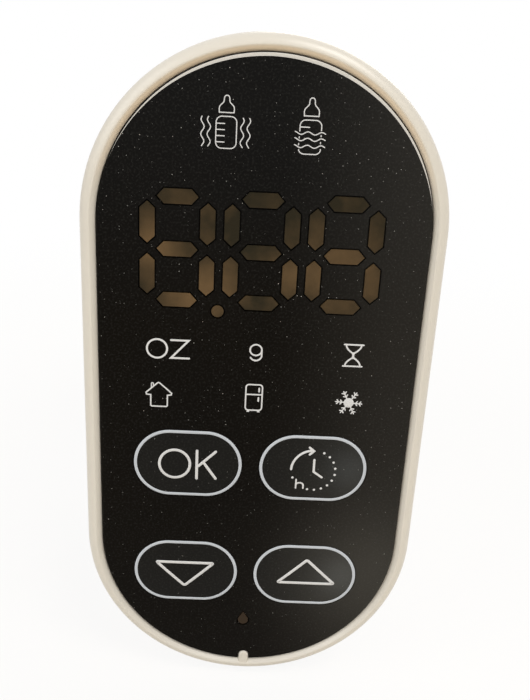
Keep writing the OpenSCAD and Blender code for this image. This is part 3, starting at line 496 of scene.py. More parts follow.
# %% Plain finishes
CREAM = (0.705, 0.66, 0.576)
cream = grained("cream_plastic", CREAM, 0.33, grain=2600.0, bump=0.02, drift=0.05)
white_print = grained("warm_white_print", (0.67, 0.665, 0.66), 0.5, grain=5000.0, drift=0.12)
blue_print = grained("cool_white_print", (0.53, 0.56, 0.6), 0.5, grain=5000.0, drift=0.12)
grey_print = grained("grey_print", (0.16, 0.155, 0.15), 0.5, grain=5000.0)
rubber = grained("dark_rubber", (0.05, 0.048, 0.046), 0.52, grain=1800.0, bump=0.2)
steel = ringed("brushed_steel", (0.62, 0.62, 0.61), 0.3, 2600.0)
alloy = ringed("cast_alloy", (0.55, 0.55, 0.54), 0.45, 1500.0)
print("made", len(bpy.data.materials), "finishes so far")

# %% [markdown]
# ## The rim
# The cream rim frames the face. Outside its crest it rounds over to the pod's side, and inside it slopes
# down to the sheet. It could be a bevelled outline, but a profile carried round the pill keeps the crest even
# and as fine as needed. The profile also has the ledge under the sheet, the lip that goes into the pod and
# the fine groove at the parting line. The upper slope faces away from the light and gets painted shade: the
# cream turns to a warm tan there, by the distance from the spine.

# %% Rim
CREST_IN = 2.2
CREST_R = FACE_R - CREST_IN
ROUND = 2.6
ROUND_R = FACE_R - ROUND
ROUND_Z = -math.sqrt(ROUND**2 - (ROUND - CREST_IN) ** 2)
POCKET_R = FACE_R - 3.25
SHEET_BACK = SHEET_Z - 2.0
LEDGE_R = FACE_R - 7.2
LEDGE_Z = -4.0
LIP_R = FACE_R - 2.35
LIP_IN = FACE_R - 3.95
LIP_Z = -9.0
PARTING = -6.0
GROOVE = 0.4
crest_turn = math.degrees(math.atan2(-ROUND_Z, CREST_R - ROUND_R))
crest_end = arc((ROUND_R, ROUND_Z), ROUND, crest_turn - 5, crest_turn - 5, 1)[0]
rim_profile = np.concatenate([
    [[POCKET_R, SHEET_BACK], [POCKET_R, POCKET_R - CREST_R]],
    soft_corner([CREST_R - 0.17, -0.17], [CREST_R, 0.0], crest_end),
    arc((ROUND_R, ROUND_Z), ROUND, crest_turn - 8, 0, 16),
    [[FACE_R, PARTING + GROOVE + 0.05], [FACE_R - 0.05, PARTING + GROOVE]],
    [[FACE_R - GROOVE, PARTING + GROOVE], [FACE_R - GROOVE, PARTING]],
    [[LIP_R, PARTING], [LIP_R, LIP_Z], [LIP_IN, LIP_Z], [LIP_IN, LEDGE_Z]],
    [[LEDGE_R, LEDGE_Z], [LEDGE_R, SHEET_BACK]],
])
rim_grid = carry(rim_profile, pill_path(RUN))
print("rim profile of", len(rim_profile), "points")

# %% Rim finish
# Painted shade: the upper inner slope of the rim, which faces away from the light, is tinted tan.
PAINTED_SHADE_TAN = (0.8, 0.665, 0.49)
rim_cream, tree, shader = new_finish("rim_cream")
where = add_group(tree, spine_group)
inner = ramp(where["Away"], (CREST_R + 0.15) * MM, (CREST_R - 0.35) * MM)
high_up = ramp(where["Upward"], 0.05, 0.7, smooth=True)
painted_shade_colour = mix_colours(times(inner, high_up), CREAM, PAINTED_SHADE_TAN)
effect = add_group(tree, grain_group, Colour=painted_shade_colour, Drift=0.05, Gloss=0.32, Uneven=0.06, Grain=2600.0)
coat(shader, effect, 0.02)
print("rim_cream turns tan near the top")

# %% [markdown]
# At the bottom of the face a small round-ended key reaches up from the rim into a notch of the sheet. It is
# a short upright pill with a softly rounded edge. Its lower end is under the rim's crest.

# %% Locating key
NUB_R = 1.13
NUB_TOP = -0.14
NUB_EDGE = 0.55
NUB_RUN = 2.05
NUB_Y = -66.575
nub_profile = np.concatenate([
    [[0, NUB_TOP]], arc((NUB_R - NUB_EDGE, NUB_TOP - NUB_EDGE), NUB_EDGE, 90, 0, 10),
    [[NUB_R, SHEET_BACK], [0, SHEET_BACK]],
])
nub_grid = carry(nub_profile, pill_path(NUB_RUN), (0, NUB_Y))
rim_grids = [(rim_grid, True, True), (nub_grid, True, False)]
rim = make_piece("face_rim", rim_grids, rim_cream, "housing", sharp=28)
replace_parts(rim, "bezel")

# %% [markdown]
# ## The black sheet
# The CAD plate has the windows for the keys, the pockets for the display and the bevelled edge, so it stays,
# and only its finish is made here. The black stops a little short of the sheet's upper end and leaves a pale
# crescent, a painted highlight where the upper edge catches the light. So the finish asks how far a point is
# from the sheet's spine. The black ends at the sheet's radius, less a width that goes with the square of the
# direction's upward part and has a share of its rightward part, which fades where the arc ends. Beyond that
# the sheet is pale and glossy, up to its last tenth of a millimetre, and to a little less on the left, where
# the rim shades its edge.

# %% Sheet finish
SHEET_R = FACE_R - 3.4
CRESCENT = 0.72
RIGHT_WIDTH = 0.3
LEFT_SHADE = 0.12
EDGE = 0.1
SHEET_BUMP = 0.12


def dusty_black(name, colour, gloss, specular, dust, side_reflection):
    """Satin black with painted reflections and fine specks of dust on it; its shader is fed later."""
    material, tree, shader = new_finish(name, specular=specular)
    effect = add_group(
        tree, grain_group, Colour=colour, Drift=0.5, Gloss=gloss, Uneven=0.1, Grain=4000.0
    )
    painted_reflection = add_group(tree, painted_reflection_group, Colour=effect["Colour"], Side=side_reflection)
    specks = add_group(tree, dust_group, Colour=painted_reflection["Colour"], Amount=dust)
    return material, tree, shader, effect, specks


sheet_black, tree, shader, effect, specks = dusty_black(
    "sheet_black", (0.0034, 0.0024, 0.0012), 0.42, 0.045, dust=0.27, side_reflection=0.016
)
where = add_group(tree, spine_group)
# Painted highlight: a pale, glossier band along the sheet's upper edge, where the edge catches the light.
leftward = smaller(where["Sideways"], 0.0)
rightward = larger(where["Sideways"], 0.0)
sheet_end = plus(times(leftward, LEFT_SHADE * MM), SHEET_R * MM)
fading = ramp(where["Upward"], 0.0, 0.5, smooth=True)
right_part = times(times(rightward, fading), RIGHT_WIDTH * MM)
width = plus(times(square(where["Upward"]), CRESCENT * MM), right_part)
outside = is_less(minus(sheet_end, width), where["Away"])
within = is_less(where["Away"], minus(sheet_end, EDGE * MM))
upper = is_less(0.0, where["Upward"])
edge = times(times(outside, within), upper)
painted_highlight_colour = mix_colours(edge, specks["Colour"], (0.62, 0.6, 0.56))
dulled = plus(effect["Roughness"], times(specks["Specks"], 0.3))
coat(shader, effect, SHEET_BUMP, painted_highlight_colour, minus(dulled, times(edge, 0.2)))


def dress(node, material):
    """Gives a CAD node its finish and leaves its shape alone."""
    mesh = nodes[node].data
    mesh.materials.clear()
    mesh.materials.append(material)
    print(node, "has the finish", material.name)


dress("front_panel", sheet_black)

# %% [markdown]
# ## The display windows
# The digits are off. What shows is the smoke of the windows, a dark olive, with painted reflections in brown
# on it. Each painted reflection is a spot that fades outwards from a point of the face, and noise makes it
# uneven. The drop-shaped window near the bottom gets none of them, only one plain dark colour.

# %% Window finish
# Painted reflections: brown glints on the windows, each a soft spot given as (x, y, reach, strength).
PAINTED_GLINTS = [
    (-21.2, 30.8, 4.6, 1.0), (-13.5, 21.5, 6.0, 0.95), (-14.5, 38.0, 6.5, 0.28), (-6.5, 24.5, 4.2, 0.5),
    (5.0, 26.0, 4.2, 0.6), (15.5, 27.5, 8.5, 0.75),
]
DROP_BELOW = FACE_Z - 45 * MM
window_smoke, tree, shader = new_finish("window_smoke", specular=0.08)
place = here(tree)
blotch = ramp(noise(place, 260.0, 3.0), 0.3, 0.7, -0.14, 0.14)
brown = larger(add_spots(place, blotch, PAINTED_GLINTS), 0.0)
browns = mix_colours(brown, (0.0215, 0.017, 0.0085), (0.132, 0.081, 0.037))
drop = is_less(split(place)[2], DROP_BELOW)
browns = mix_colours(drop, browns, (0.036, 0.0235, 0.0135))
effect = add_group(tree, grain_group, Colour=browns, Drift=0.25, Gloss=0.4, Uneven=0.1, Grain=4000.0)
coat(shader, effect)
dress("segment_windows", window_smoke)

# %% [markdown]
# ## The keys
# Each key is a low pillow, level with the sheet at its edge. A bevelled block would have a flat top, so its
# height falls with the square of the distance from the key's spine. Behind the sheet a flange keeps it in. A
# key rides on its own body, because it is pressed on its own. The two keys on the right get a painted cool
# gleam, a reflection painted into their colour.

# %% Keys
KEY_R = 7.8
KEY_RUN = 7.4
CROWN = 0.3
FLANGE = 1.0
FLANGE_Z = -2.4
KEYS = {"ok": (-13.75, -15.9), "timer": (12.75, -15.9), "down": (-13.75, -42.8), "up": (12.75, -42.8)}
# Painted reflection: a cool gleam on the two keys on the right.
PAINTED_KEY_GLEAMS = [(20.5, -16.0, 5.0, 0.024), (20.7, -42.8, 5.0, 0.028)]
key_black, tree, shader, effect, specks = dusty_black(
    "key_black", (0.0072, 0.0066, 0.0052), 0.4, 0.08, dust=0.2, side_reflection=0.018
)
painted_gleam = add_spots(here(tree), 0.0, PAINTED_KEY_GLEAMS)
coat(shader, effect, SHEET_BUMP, mix_colours(painted_gleam, specks["Colour"], (0.86, 0.95, 1)))


def key_height(r):
    """Height of a key's top: the crown less its share by the square of r over the key's radius."""
    return SHEET_Z + CROWN * (1 - (r / KEY_R) ** 2)


top_r = np.linspace(0, KEY_R - 0.2, 26)
key_profile = np.concatenate([
    np.stack([top_r, key_height(top_r)], 1),
    soft_corner([KEY_R - 0.1, key_height(KEY_R - 0.1)], [KEY_R, SHEET_Z], [KEY_R, SHEET_Z - 0.15]),
    [[KEY_R, FLANGE_Z], [KEY_R + FLANGE, FLANGE_Z], [KEY_R + FLANGE, FLANGE_Z - 1.0], [0, FLANGE_Z - 1.0]],
])
for key, centre in KEYS.items():
    grid = carry(key_profile, pill_path(KEY_RUN, lying=True), centre)
    cap = make_piece(f"key_cap_{key}", [(grid, True, False)], key_black, f"{key}_key", sharp=40)
    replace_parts(cap, f"key_{key}")

# %% [markdown]
# ## Printed lines
# The signs are printed in thin pale lines. A flat picture would do for one view, but a line with a little
# height catches light as thick ink does. Points to either side of its path lie along the joint direction,
# which is the sum of the two neighbouring normals over one plus their product, so that corners keep their
# width. Half circles close the ends. Where lines cross, each lies a few micrometres above the one before, so
# that no two faces share a plane.

# %% Line tools
INK = 0.02
SUNK = 0.05
CAP = np.radians([0, 18, 36, 54, 72])
LONGEST_STEP = 0.5
MITRE_LIMIT = 0.3


def short_steps(line, closed):
    """The same line with extra points on its long stretches, so that it can follow a curved surface."""
    line = np.asarray(line, float)
    ends = np.roll(line, -1, axis=0) if closed else line[1:]
    starts = line[:len(ends)]
    count = np.maximum(np.ceil(np.hypot(*(ends - starts).T) / LONGEST_STEP), 1).astype(int)
    which = np.repeat(np.arange(len(ends)), count)
    within = np.arange(count.sum()) - np.repeat(np.cumsum(count) - count, count)
    walked = starts[which] + (ends - starts)[which] * (within / count[which])[:, None]
    return walked if closed else np.concatenate([walked, line[-1:]])


def ink_line(line, width, closed=False):
    """Grid of a printed line: (x, y, height) of four points across it, at each step along it."""
    line = short_steps(line, closed)
    half = np.full(len(line), width / 2)
    if not closed:
        first, last = [end / np.hypot(*end) for end in (line[0] - line[1], line[-1] - line[-2])]
        ahead, aside = np.array([np.cos(CAP), np.sin(CAP)])[..., None] * width / 2
        line = np.concatenate([line[0] + first * ahead, line, line[-1] + last * ahead[::-1]])
        half = np.concatenate([aside[:, 0], half, aside[::-1, 0]])
    step = np.diff(line, axis=0, append=line[:1] if closed else 2 * line[-1:] - line[-2:-1])
    normal = np.stack([-step[:, 1], step[:, 0]], 1)
    normal = normal / np.maximum(np.hypot(*normal.T), 1e-9)[:, None]
    before = np.roll(normal, 1, axis=0)
    if not closed:
        before[0] = normal[0]
    joint = (before + normal) / np.maximum(1 + (before * normal).sum(1), MITRE_LIMIT)[:, None]
    across = np.array([-1, -0.8, 0.8, 1])
    flat = line[:, None] + joint[:, None] * (across * half[:, None])[..., None]
    rise = np.broadcast_to([-SUNK, INK, INK, -SUNK], flat.shape[:2])
    return np.concatenate([flat, rise[..., None]], axis=-1), closed, True


def ink_lines(width, *lines, closed=False):
    """Several lines of one width."""
    return [ink_line(line, width, closed) for line in lines]


def dot(centre, width):
    """A round dot: level on top, with a sunken edge and foot."""
    return spin([[0, INK], [0.425 * width, INK], [width / 2, -SUNK], [0, -SUNK]], 24, centre), True, False


print("line tools are ready")

# %% Outlines


def box_path(width, height, radius, count=9):
    """Once round a box with round corners: the corners' middles, and outward directions of quarter turns."""
    turn = np.radians(np.linspace(0, 90, count))
    turns = (turn[None] + np.radians([[0], [90], [180], [270]])).ravel()
    middle = np.array([[1, 1], [-1, 1], [-1, -1], [1, -1]]) * [width / 2 - radius, height / 2 - radius]
    return np.repeat(middle, count, axis=0), np.stack([np.cos(turns), np.sin(turns)], 1)


def outline(path, distance, centre):
    """Closed line that keeps a distance from a path's spine."""
    spine, out = path
    return centre + spine + out * distance


def round_box(centre, width, height, radius):
    """Outline of a box with round corners, counter-clockwise from its right side."""
    return outline(box_path(width, height, radius), radius, centre)


def round_corners(points, cut):
    """Closed outline with a soft corner at each point, from a cut before it to a cut after it."""
    points = np.asarray(points, float)
    ways = [np.roll(points, shift, axis=0) - points for shift in (1, -1)]
    before, after = [points + cut * way / np.hypot(*way.T)[:, None] for way in ways]
    return np.concatenate([soft_corner(*corner) for corner in zip(before, points, after)])


print("outline tools are ready")

# %% Printing
LAYER = 0.003
LAYERS = 7


def print_signs(
    name, lines, place, body="housing", material=white_print, layer=LAYER
):
    """One piece from lines. The place function takes x, y and the ink's height into the world."""
    grids = []
    for i, (grid, *loops) in enumerate(lines):
        x, y, rise = np.moveaxis(grid, -1, 0)
        grids.append((place(x, y, rise + layer * (i % LAYERS)), *loops))
    make_piece(name, grids, material, body, sharp=50)


def on_sheet(x, y, rise):
    """A point above the sheet, which is level."""
    return on_face(x, y, SHEET_Z + rise)


print("ink goes on in up to", LAYERS, "layers")

# %% [markdown]
# ## Signs for the two ways of warming
# Two bottles stand at the top: one between wavy lines of warm air, one in water. A bottle is a round box
# with a teat on it. The teat's outline is one half given by a few points, and its mirror image.

# %% Bottle signs
THIN = 0.225
TEAT = np.array([
    [1.34, 0.0], [1.37, 0.75], [1.27, 1.1], [0.98, 1.42], [0.68, 1.68], [0.52, 1.95], [0.49, 2.35],
    [0.45, 2.65], [0.33, 2.86], [0.15, 2.97],
])


def teat(x, y, tall):
    """Closed outline of a teat that stands on y, about the line at x, with its height times tall."""
    left = TEAT[::-1] * [-1, 1]
    return np.concatenate([TEAT, left]) * [1, tall] + [x, y]


def upright_wave(x, turn):
    """An upright wavy line: x swings with the cosine of the height."""
    y = np.linspace(55.0, 49.8, 36)
    return np.stack([x + 0.29 * turn * np.cos(2 * np.pi * (y - 54.52) / 2.6), y], 1)


def level_wave(y):
    """A level wavy line: y swings with the cosine of the distance from the bottle's middle."""
    x = np.linspace(4.66, 10.2, 40)
    return np.stack([x, y + 0.25 * np.cos(2 * np.pi * (x - 7.02) / 2.53)], 1)


bottle = round_box((-7.93, 52.35), 3.76, 5.66, 1.05)
warm_air = ink_lines(THIN, teat(-7.95, 55.86, 1), bottle, closed=True)
warm_air += ink_lines(THIN, *[[[-9.8, y], [-8.28, y]] for y in (53.92, 52.83, 51.74, 50.64)])
warm_air += ink_lines(THIN, *[upright_wave(x, -1) for x in (-12.26, -11.1)])
warm_air += ink_lines(THIN, *[upright_wave(x, 1) for x in (-5.02, -3.85)])

body_top = np.concatenate([
    [[9.42, 53.54]], arc((8.4, 54.22), (1.02, 1.05), 0, 90, 9),
    arc((6.5, 54.22), (1.02, 1.05), 90, 180, 9), [[5.48, 53.3]],
])
body_foot = np.concatenate([
    arc((6.5, 50.1), (1.06, 0.9), 190, 270, 9), arc((8.4, 50.1), (1.06, 0.9), 270, 362, 9),
])
sides = [(5.44, 52.24), (5.4, 51.03), (9.42, 52.66), (9.4, 51.42)]
water_bath = [ink_line(teat(7.45, 55.98, 1.06), THIN, True)]
water_bath += ink_lines(THIN, body_top, body_foot, [[5.55, 54.0], [7.2, 54.0]])
water_bath += ink_lines(THIN, *[level_wave(y) for y in (52.95, 51.82, 50.58)])
water_bath += ink_lines(THIN, *[[[x, y], [x, y - 0.2]] for x, y in sides])
print_signs("print_bottles", warm_air + water_bath, on_sheet)

# %% [markdown]
# ## Signs for units and food
# Under the digits are plain units and pictures: ounces, grams and a time glass, then a house for room
# warmth, a fridge and a snowflake. Circles, bars and a few corners are enough for all of them.

# %% Units
WIDE = 0.47
MID = 0.38
GLASS = np.array([19.07, 10.07])
units = [ink_line(arc((-20.36, 9.75), (2.02, 1.98), 0, 352.5, 48), WIDE, True)]
units += ink_lines(WIDE, [[-17.55, 11.66], [-14.05, 11.66], [-17.55, 7.86], [-13.95, 7.86]])
units += [ink_line(arc((-0.53, 10.33), (1.18, 1.15), 0, 352.5, 48), MID, True)]
units += ink_lines(MID, np.concatenate([[[0.65, 10.33]], arc((-0.52, 9.2), (1.17, 1.12), 0, -152, 24)]))
fall = np.linspace(0, 1.74, 22)
bowl = np.stack([1.53 * (1 - (fall / 1.83) ** 2), 2.25 - fall], 1)
side = np.concatenate([bowl, [[0.03, 0.12], [0.03, -0.12]], bowl[::-1] * [1, -1]])
units += ink_lines(MID, *[side * [turn, 1] + GLASS for turn in (-1, 1)])
units += ink_lines(MID, *[[[17.17, y], [20.98, y]] for y in (12.38, 7.76)])
units += [dot(GLASS + [0, up], 0.5) for up in (0.51, -0.51)]
print_signs("print_units", units, on_sheet)

# %% Food signs
PICTURE = 0.34
house = [
    [-20.24, 2.26], [-20.0, 2.38], [-19.76, 2.26], [-17.35, 0.1], [-17.42, -0.3], [-18.2, -0.4],
    [-18.2, -2.72], [-18.4, -2.92], [-21.4, -2.92], [-21.6, -2.72], [-21.6, -0.4], [-22.46, -0.3],
    [-22.55, 0.1],
]
chimney = [[-21.47, 1.2], [-21.47, 2.08], [-21.36, 2.27], [-21.17, 2.27], [-21.06, 2.08], [-21.06, 1.65]]
food = [ink_line(house, PICTURE, True), ink_line(chimney, 0.26)]
food += [ink_line(round_box((-0.5, -0.06), 3.36, 5.7, 0.62), PICTURE, True)]
food += ink_lines(PICTURE, [[-2.1, 0.6], [1.1, 0.6]])
food += ink_lines(0.38, [[0.52, 1.3], [0.52, 2.0]], [[0.44, -0.8], [0.44, -0.1]])
food += ink_lines(0.32, *[[[x - 0.14, -3.2], [x + 0.14, -3.2]] for x in (-1.6, 0.55)])


def turned(line, degrees, centre):
    """A line turned about the origin and moved to a centre."""
    a = math.radians(degrees)
    turn = np.array([[math.cos(a), math.sin(a)], [-math.sin(a), math.cos(a)]])
    return np.asarray(line) @ turn + centre


FLAKE = (19.04, -0.32)
FLAKE_TURN = -3.5
twigs = [[[0.9, 0], [2.7, 0]]]
twigs += [[[root, 0], [root + 0.3, 0.43 * turn]] for root in (2.14, 1.42) for turn in (-1, 1)]
for angle in range(0, 360, 60):
    food += ink_lines(0.29, *[turned(twig, angle + FLAKE_TURN, FLAKE) for twig in twigs])
food += [dot(FLAKE, 2.3)]
print_signs("print_food", food, on_sheet)

# %% [markdown]
# ## Signs on the keys
# Each key has a pale outline near its edge and a sign in its middle. They are printed on the key, so they
# follow its crown and move with it: the height of the line is the key's own height at that point.

# %% Key signs
OUTLINE_R = 7.36
OUTLINE = 0.74
LETTER = 0.67
TRIANGLE = 0.76
CLOCK = np.array([12.85, -16.25])
CLOCK_R = 4.68
clock_dots = [64, 45.5, 27, 8.5, -10, -28.5, -47, -65.5, -84, -102.5, -157]
letter_h = np.concatenate([arc((10.15, -19.9), (0.78, 0.62), 170, 0, 12), [[10.93, -20.6]]])
key_signs = {
    "ok": [
        ink_line(arc((-16.52, -15.95), (3.22, 3.26), 0, 354, 60), LETTER, True),
        *ink_lines(
            LETTER, [[-11.85, -12.75], [-11.85, -19.2]], [[-11.5, -16.25], [-7.95, -12.8]],
            [[-10.45, -15.35], [-7.85, -19.1]],
        ),
    ],
    "timer": [
        ink_line(arc(CLOCK, (4.72, 4.7), 177.5, 97, 30), 0.58),
        ink_line([[12.0, -11.6], [12.6, -11.63]], 0.62),
        ink_line([[11.8, -10.92], [12.72, -11.64], [11.9, -12.45]], 0.56),
        ink_line([[12.92, -13.72], [12.94, -16.5], [14.72, -17.75]], 0.55),
        *ink_lines(0.4, [[9.36, -18.55], [9.36, -20.6]], letter_h),
        *[dot(arc(CLOCK, CLOCK_R, at, at, 1)[0], 0.58) for at in clock_dots],
    ],
    "down": [ink_line(round_corners([[-20.3, -40.5], [-7.65, -40.5], [-13.98, -46.6]], 0.5), TRIANGLE, True)],
    "up": [ink_line(round_corners([[13.1, -38.7], [6.8, -44.75], [19.45, -44.75]], 0.5), TRIANGLE, True)],
}


def on_key(centre, x, y, rise):
    """A point above a key, whose height goes by the distance from its spine."""
    along = np.clip(x - centre[0], -KEY_RUN / 2, KEY_RUN / 2)
    return on_face(x, y, key_height(np.hypot(x - centre[0] - along, y - centre[1])) + rise)


for key, centre in KEYS.items():
    place = partial(on_key, centre)
    body = f"{key}_key"
    print_signs(f"print_{key}", key_signs[key], place, body)
    ring = ink_line(outline(pill_path(KEY_RUN, lying=True), OUTLINE_R, centre), OUTLINE, True)
    print_signs(f"print_{key}_outline", [ring], place, body, blue_print)

# %% [markdown]
# ## The pod, the cup's shell and the slide
# These shapes come straight from the CAD model: the pod with its pockets and screw wells, the shell, the
# cover and the slide. On the pod, the outward direction runs from the spine on the sides, from the middle of
# the rounding at the back edge, and straight back between them. On the cup it runs from the axis.

# %% Housing
POD_DEPTH = 34.0
POD_ROUND = 6.0
dark_plastic = grained("dark_plastic", (0.03, 0.03, 0.031), 0.48, grain=2200.0, bump=0.25)


def unit(vectors):
    """Vectors brought to length one."""
    return vectors / np.maximum(np.linalg.norm(vectors, axis=1, keepdims=True), 1e-12)


def from_pod(place):
    """Direction by how far a point is beyond the rounding's middle line, sideways and to the back."""
    x, deep, up = ((place - [0, FACE_Y, FACE_Z]) / MM).T
    over = up - np.clip(up, -RUN / 2, RUN / 2)
    away = np.maximum(np.hypot(x, over), 1e-9)
    side = np.maximum(away - (FACE_R - POD_ROUND), 0) / away
    back = np.maximum(deep - (POD_DEPTH - POD_ROUND), 0)
    return unit(np.stack([x * side, back, over * side], 1))


def from_cup_axis(place):
    """Direction away from the cup's upright axis."""
    return unit((place - [0, CUP_Y, 0]) * [1, 1, 0])


smooth_copy("pod_body", "pod_shell", cream, "housing", from_pod)
smooth_copy("cup_body", "cup_shell", cream, "housing", from_cup_axis)
smooth_copy("cup_base", "base_cover", cream, "housing", from_cup_axis)
smooth_copy("power_knob", "switch_slider", dark_plastic, "slider", from_pod)
smooth_copy("cup_pads", "feet", rubber, "housing", from_cup_axis)
smooth_copy("pod_pad", "pod_foot", rubber, "housing", from_pod)

# %% [markdown]
# ## The flap over the charging port
# The flap is a soft rubber plate that turns on a pin. The CAD plate has sharp edges, and cast rubber has
# none, so the outline of a round box is carried inwards along a rolled edge, and shrunk to the middle for the
# flat top. Three ribs near the free edge give a finger hold, and a tube is the hinge's barrel.

# %% Port flap
flap_low, flap_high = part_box("port_flap")
joints = frame["record"]["behaviour"]["joints"]
hinge = next(joint for joint in joints if joint["name"] == "flap_hinge")["pos_m"]
HINGE_X = hinge[0] / MM
HINGE_Y = hinge[1] / MM
BARREL_R = flap_high.x / MM - HINGE_X
BARREL_EDGE = 0.15
BORE_R = 0.6
FLAP_OUT = FACE_R - 0.1
FLAP_BACK = FLAP_OUT - 1.5
FLAP_ROLL = 0.45
FLAP_CORNER = 0.9
RIB_CORNER = 0.29


def side_plate(size, radius, top, back, roll, middle):
    """Grid of a plate on the right side, from its flat top over a rolled edge to its flat back."""
    edge = arc((radius - roll, top - roll), roll, 90, 0, 8)
    share = np.array([0, 0.5, 1, *np.ones(len(edge)), 1, 1, 0])[:, None]
    away = np.array([0, 0, 0, *edge[:, 0], radius, 0, 0])[:, None]
    height = [top, top, top, *edge[:, 1], back, back, back]
    spine, out = box_path(*size, radius)
    flat = middle + spine[:, None] * share + out[:, None] * away
    across = np.broadcast_to(height, flat.shape[:2])
    return np.stack([across, flat[..., 0], flat[..., 1]], axis=-1) * MM, True, False


flap_edge = flap_low.y / MM
flap_mid = np.array([(flap_edge + HINGE_Y) / 2, (flap_low.z + flap_high.z) / 2 / MM])
flap_size = (HINGE_Y - flap_edge, (flap_high.z - flap_low.z) / MM)
flap_grids = [side_plate(flap_size, FLAP_CORNER, FLAP_OUT, FLAP_BACK, FLAP_ROLL, flap_mid)]
for step in (1.5, 2.7, 3.9):
    rib_mid = np.array([flap_edge + step, flap_mid[1]])
    flap_grids.append(side_plate((0.6, 7.0), RIB_CORNER, FLAP_OUT + 0.34, FLAP_OUT - 0.3, 0.22, rib_mid))
barrel_r = [BORE_R, BARREL_R - BARREL_EDGE, BARREL_R, BARREL_R, BARREL_R - BARREL_EDGE, BORE_R]
barrel_z = np.array([1, 1, 0.98, -0.98, -1, -1]) * flap_size[1] / 2 + flap_mid[1]
barrel = spin(np.stack([barrel_r, barrel_z], 1), 40, (HINGE_X, HINGE_Y)) * MM
flap_grids.append((barrel, True, True))
cover = make_piece("port_cover", flap_grids, rubber, "flap", sharp=45)
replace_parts(cover, "port_flap")

# %% [markdown]
# ## The cup's rim ring and the steel well
# Both are profiles turned about the cup's axis. The ring gets rounder edges, and the well a rolled bead that
# marks how high the water may stand.

# %% Rim ring
RING_IN = 37.2
RING_OUT_ROUND = 1.8
RING_IN_ROUND = 1.2
RING_TOP = ring_high.z / MM
RING_FOOT = ring_low.z / MM
SPIGOT_R = CUP_R - 1.95
SPIGOT_TOP = RING_FOOT + 1.8
ring_profile = np.concatenate([
    arc((CUP_R - RING_OUT_ROUND, RING_TOP - RING_OUT_ROUND), RING_OUT_ROUND, 90, 0, 14),
    [[CUP_R, RING_FOOT + GROOVE + 0.02], [CUP_R - 0.02, RING_FOOT + GROOVE]],
    [[CUP_R - GROOVE, RING_FOOT + GROOVE], [CUP_R - GROOVE, RING_FOOT]],
    [[SPIGOT_R, RING_FOOT], [SPIGOT_R, SPIGOT_TOP], [RING_IN, SPIGOT_TOP]],
    arc((RING_IN + RING_IN_ROUND, RING_TOP - RING_IN_ROUND), RING_IN_ROUND, 180, 90, 12),
])
ring_grid = spin(ring_profile, CUP_TURNS, CUP_AXIS) * MM
ring = make_piece("cup_rim", [(ring_grid, True, True)], cream, "housing", sharp=30)
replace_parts(ring, "rim_ring")

# %% Steel well
WELL_R = 37.0
WELL_T = 0.8
WELL_ROUND = 3.0
BEAD_Z = 88.0
BEAD_HALF = 1.2
well_low, well_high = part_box("heating_cup")
WELL_TOP = well_high.z / MM
WELL_FOOT = well_low.z / MM
WELL_FLOOR = WELL_FOOT + WELL_T
FLANGE_R = (well_high.x - well_low.x) / 2 / MM
bead_z = np.linspace(BEAD_HALF, -BEAD_HALF, 15)
bead = np.stack([WELL_R - 0.18 * np.cos(bead_z / BEAD_HALF * np.pi / 2) ** 2, BEAD_Z + bead_z], 1)
bend_mid = (WELL_R - WELL_ROUND, WELL_FLOOR + WELL_ROUND)
well_profile = np.concatenate([
    [[FLANGE_R, WELL_TOP], [WELL_R, WELL_TOP]],
    bead,
    arc(bend_mid, WELL_ROUND, 0, -90, 12),
    [[30.0, WELL_FLOOR], [15.0, WELL_FLOOR], [0.0, WELL_FLOOR]],
    [[0.0, WELL_FOOT], [15.0, WELL_FOOT], [30.0, WELL_FOOT]],
    arc(bend_mid, WELL_ROUND + WELL_T, -90, 0, 12),
    [[WELL_R + WELL_T, WELL_TOP - WELL_T], [FLANGE_R, WELL_TOP - WELL_T]],
])
well_grid = spin(well_profile, CUP_TURNS, CUP_AXIS) * MM
well = make_piece("steel_well", [(well_grid, True, True)], steel, "housing", sharp=40)
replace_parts(well, "heating_cup")

# %% [markdown]
# ## The basket
# The basket lifts the bottle out of the well. It is frosted plastic that lets some light through. Its slots
# come from the CAD model, and only its finish and its normals are new.

# %% Basket
frosted = grained(
    "frosted_plastic", (0.8, 0.79, 0.76), 0.48, grain=2400.0, drift=0.05, uneven=0.1, specular=0.4
)
frosted.node_tree.nodes["Principled BSDF"].inputs["Transmission Weight"].default_value = 0.25
smooth_copy("lift_basket", "bottle_basket", frosted, "basket", from_cup_axis)

# %% [markdown]
# ## Marks beside the power slide
# A bar and a ring beside the slide say on and off. They are printed on the pod's straight left side, so a
# point there is given by its distance behind the slide's middle and its height above the table.

# %% Power marks
slide_low, slide_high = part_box("switch_slider")
SLIDE_Y = (slide_low.y + slide_high.y) / 2 / MM


def on_left_side(back, up, rise):
    """A point on the pod's left side, where the ink stands out to the left."""
    return np.stack([-FACE_R - rise, SLIDE_Y + back, up], axis=-1) * MM


marks = [
    ink_line([[0, 59.0], [0, 61.4]], 0.45),
    ink_line(arc((0, 39.8), 1.15, 0, 350, 36), 0.42, True),
]
print_signs("print_power", marks, on_left_side, "housing", grey_print, layer=0)

# %% [markdown]
# ## Parts inside
# What is inside the housing is hardly ever seen, but a screw hole may show some of it. Each of these parts
# keeps its CAD shape and gets the finish of its slot in the record.

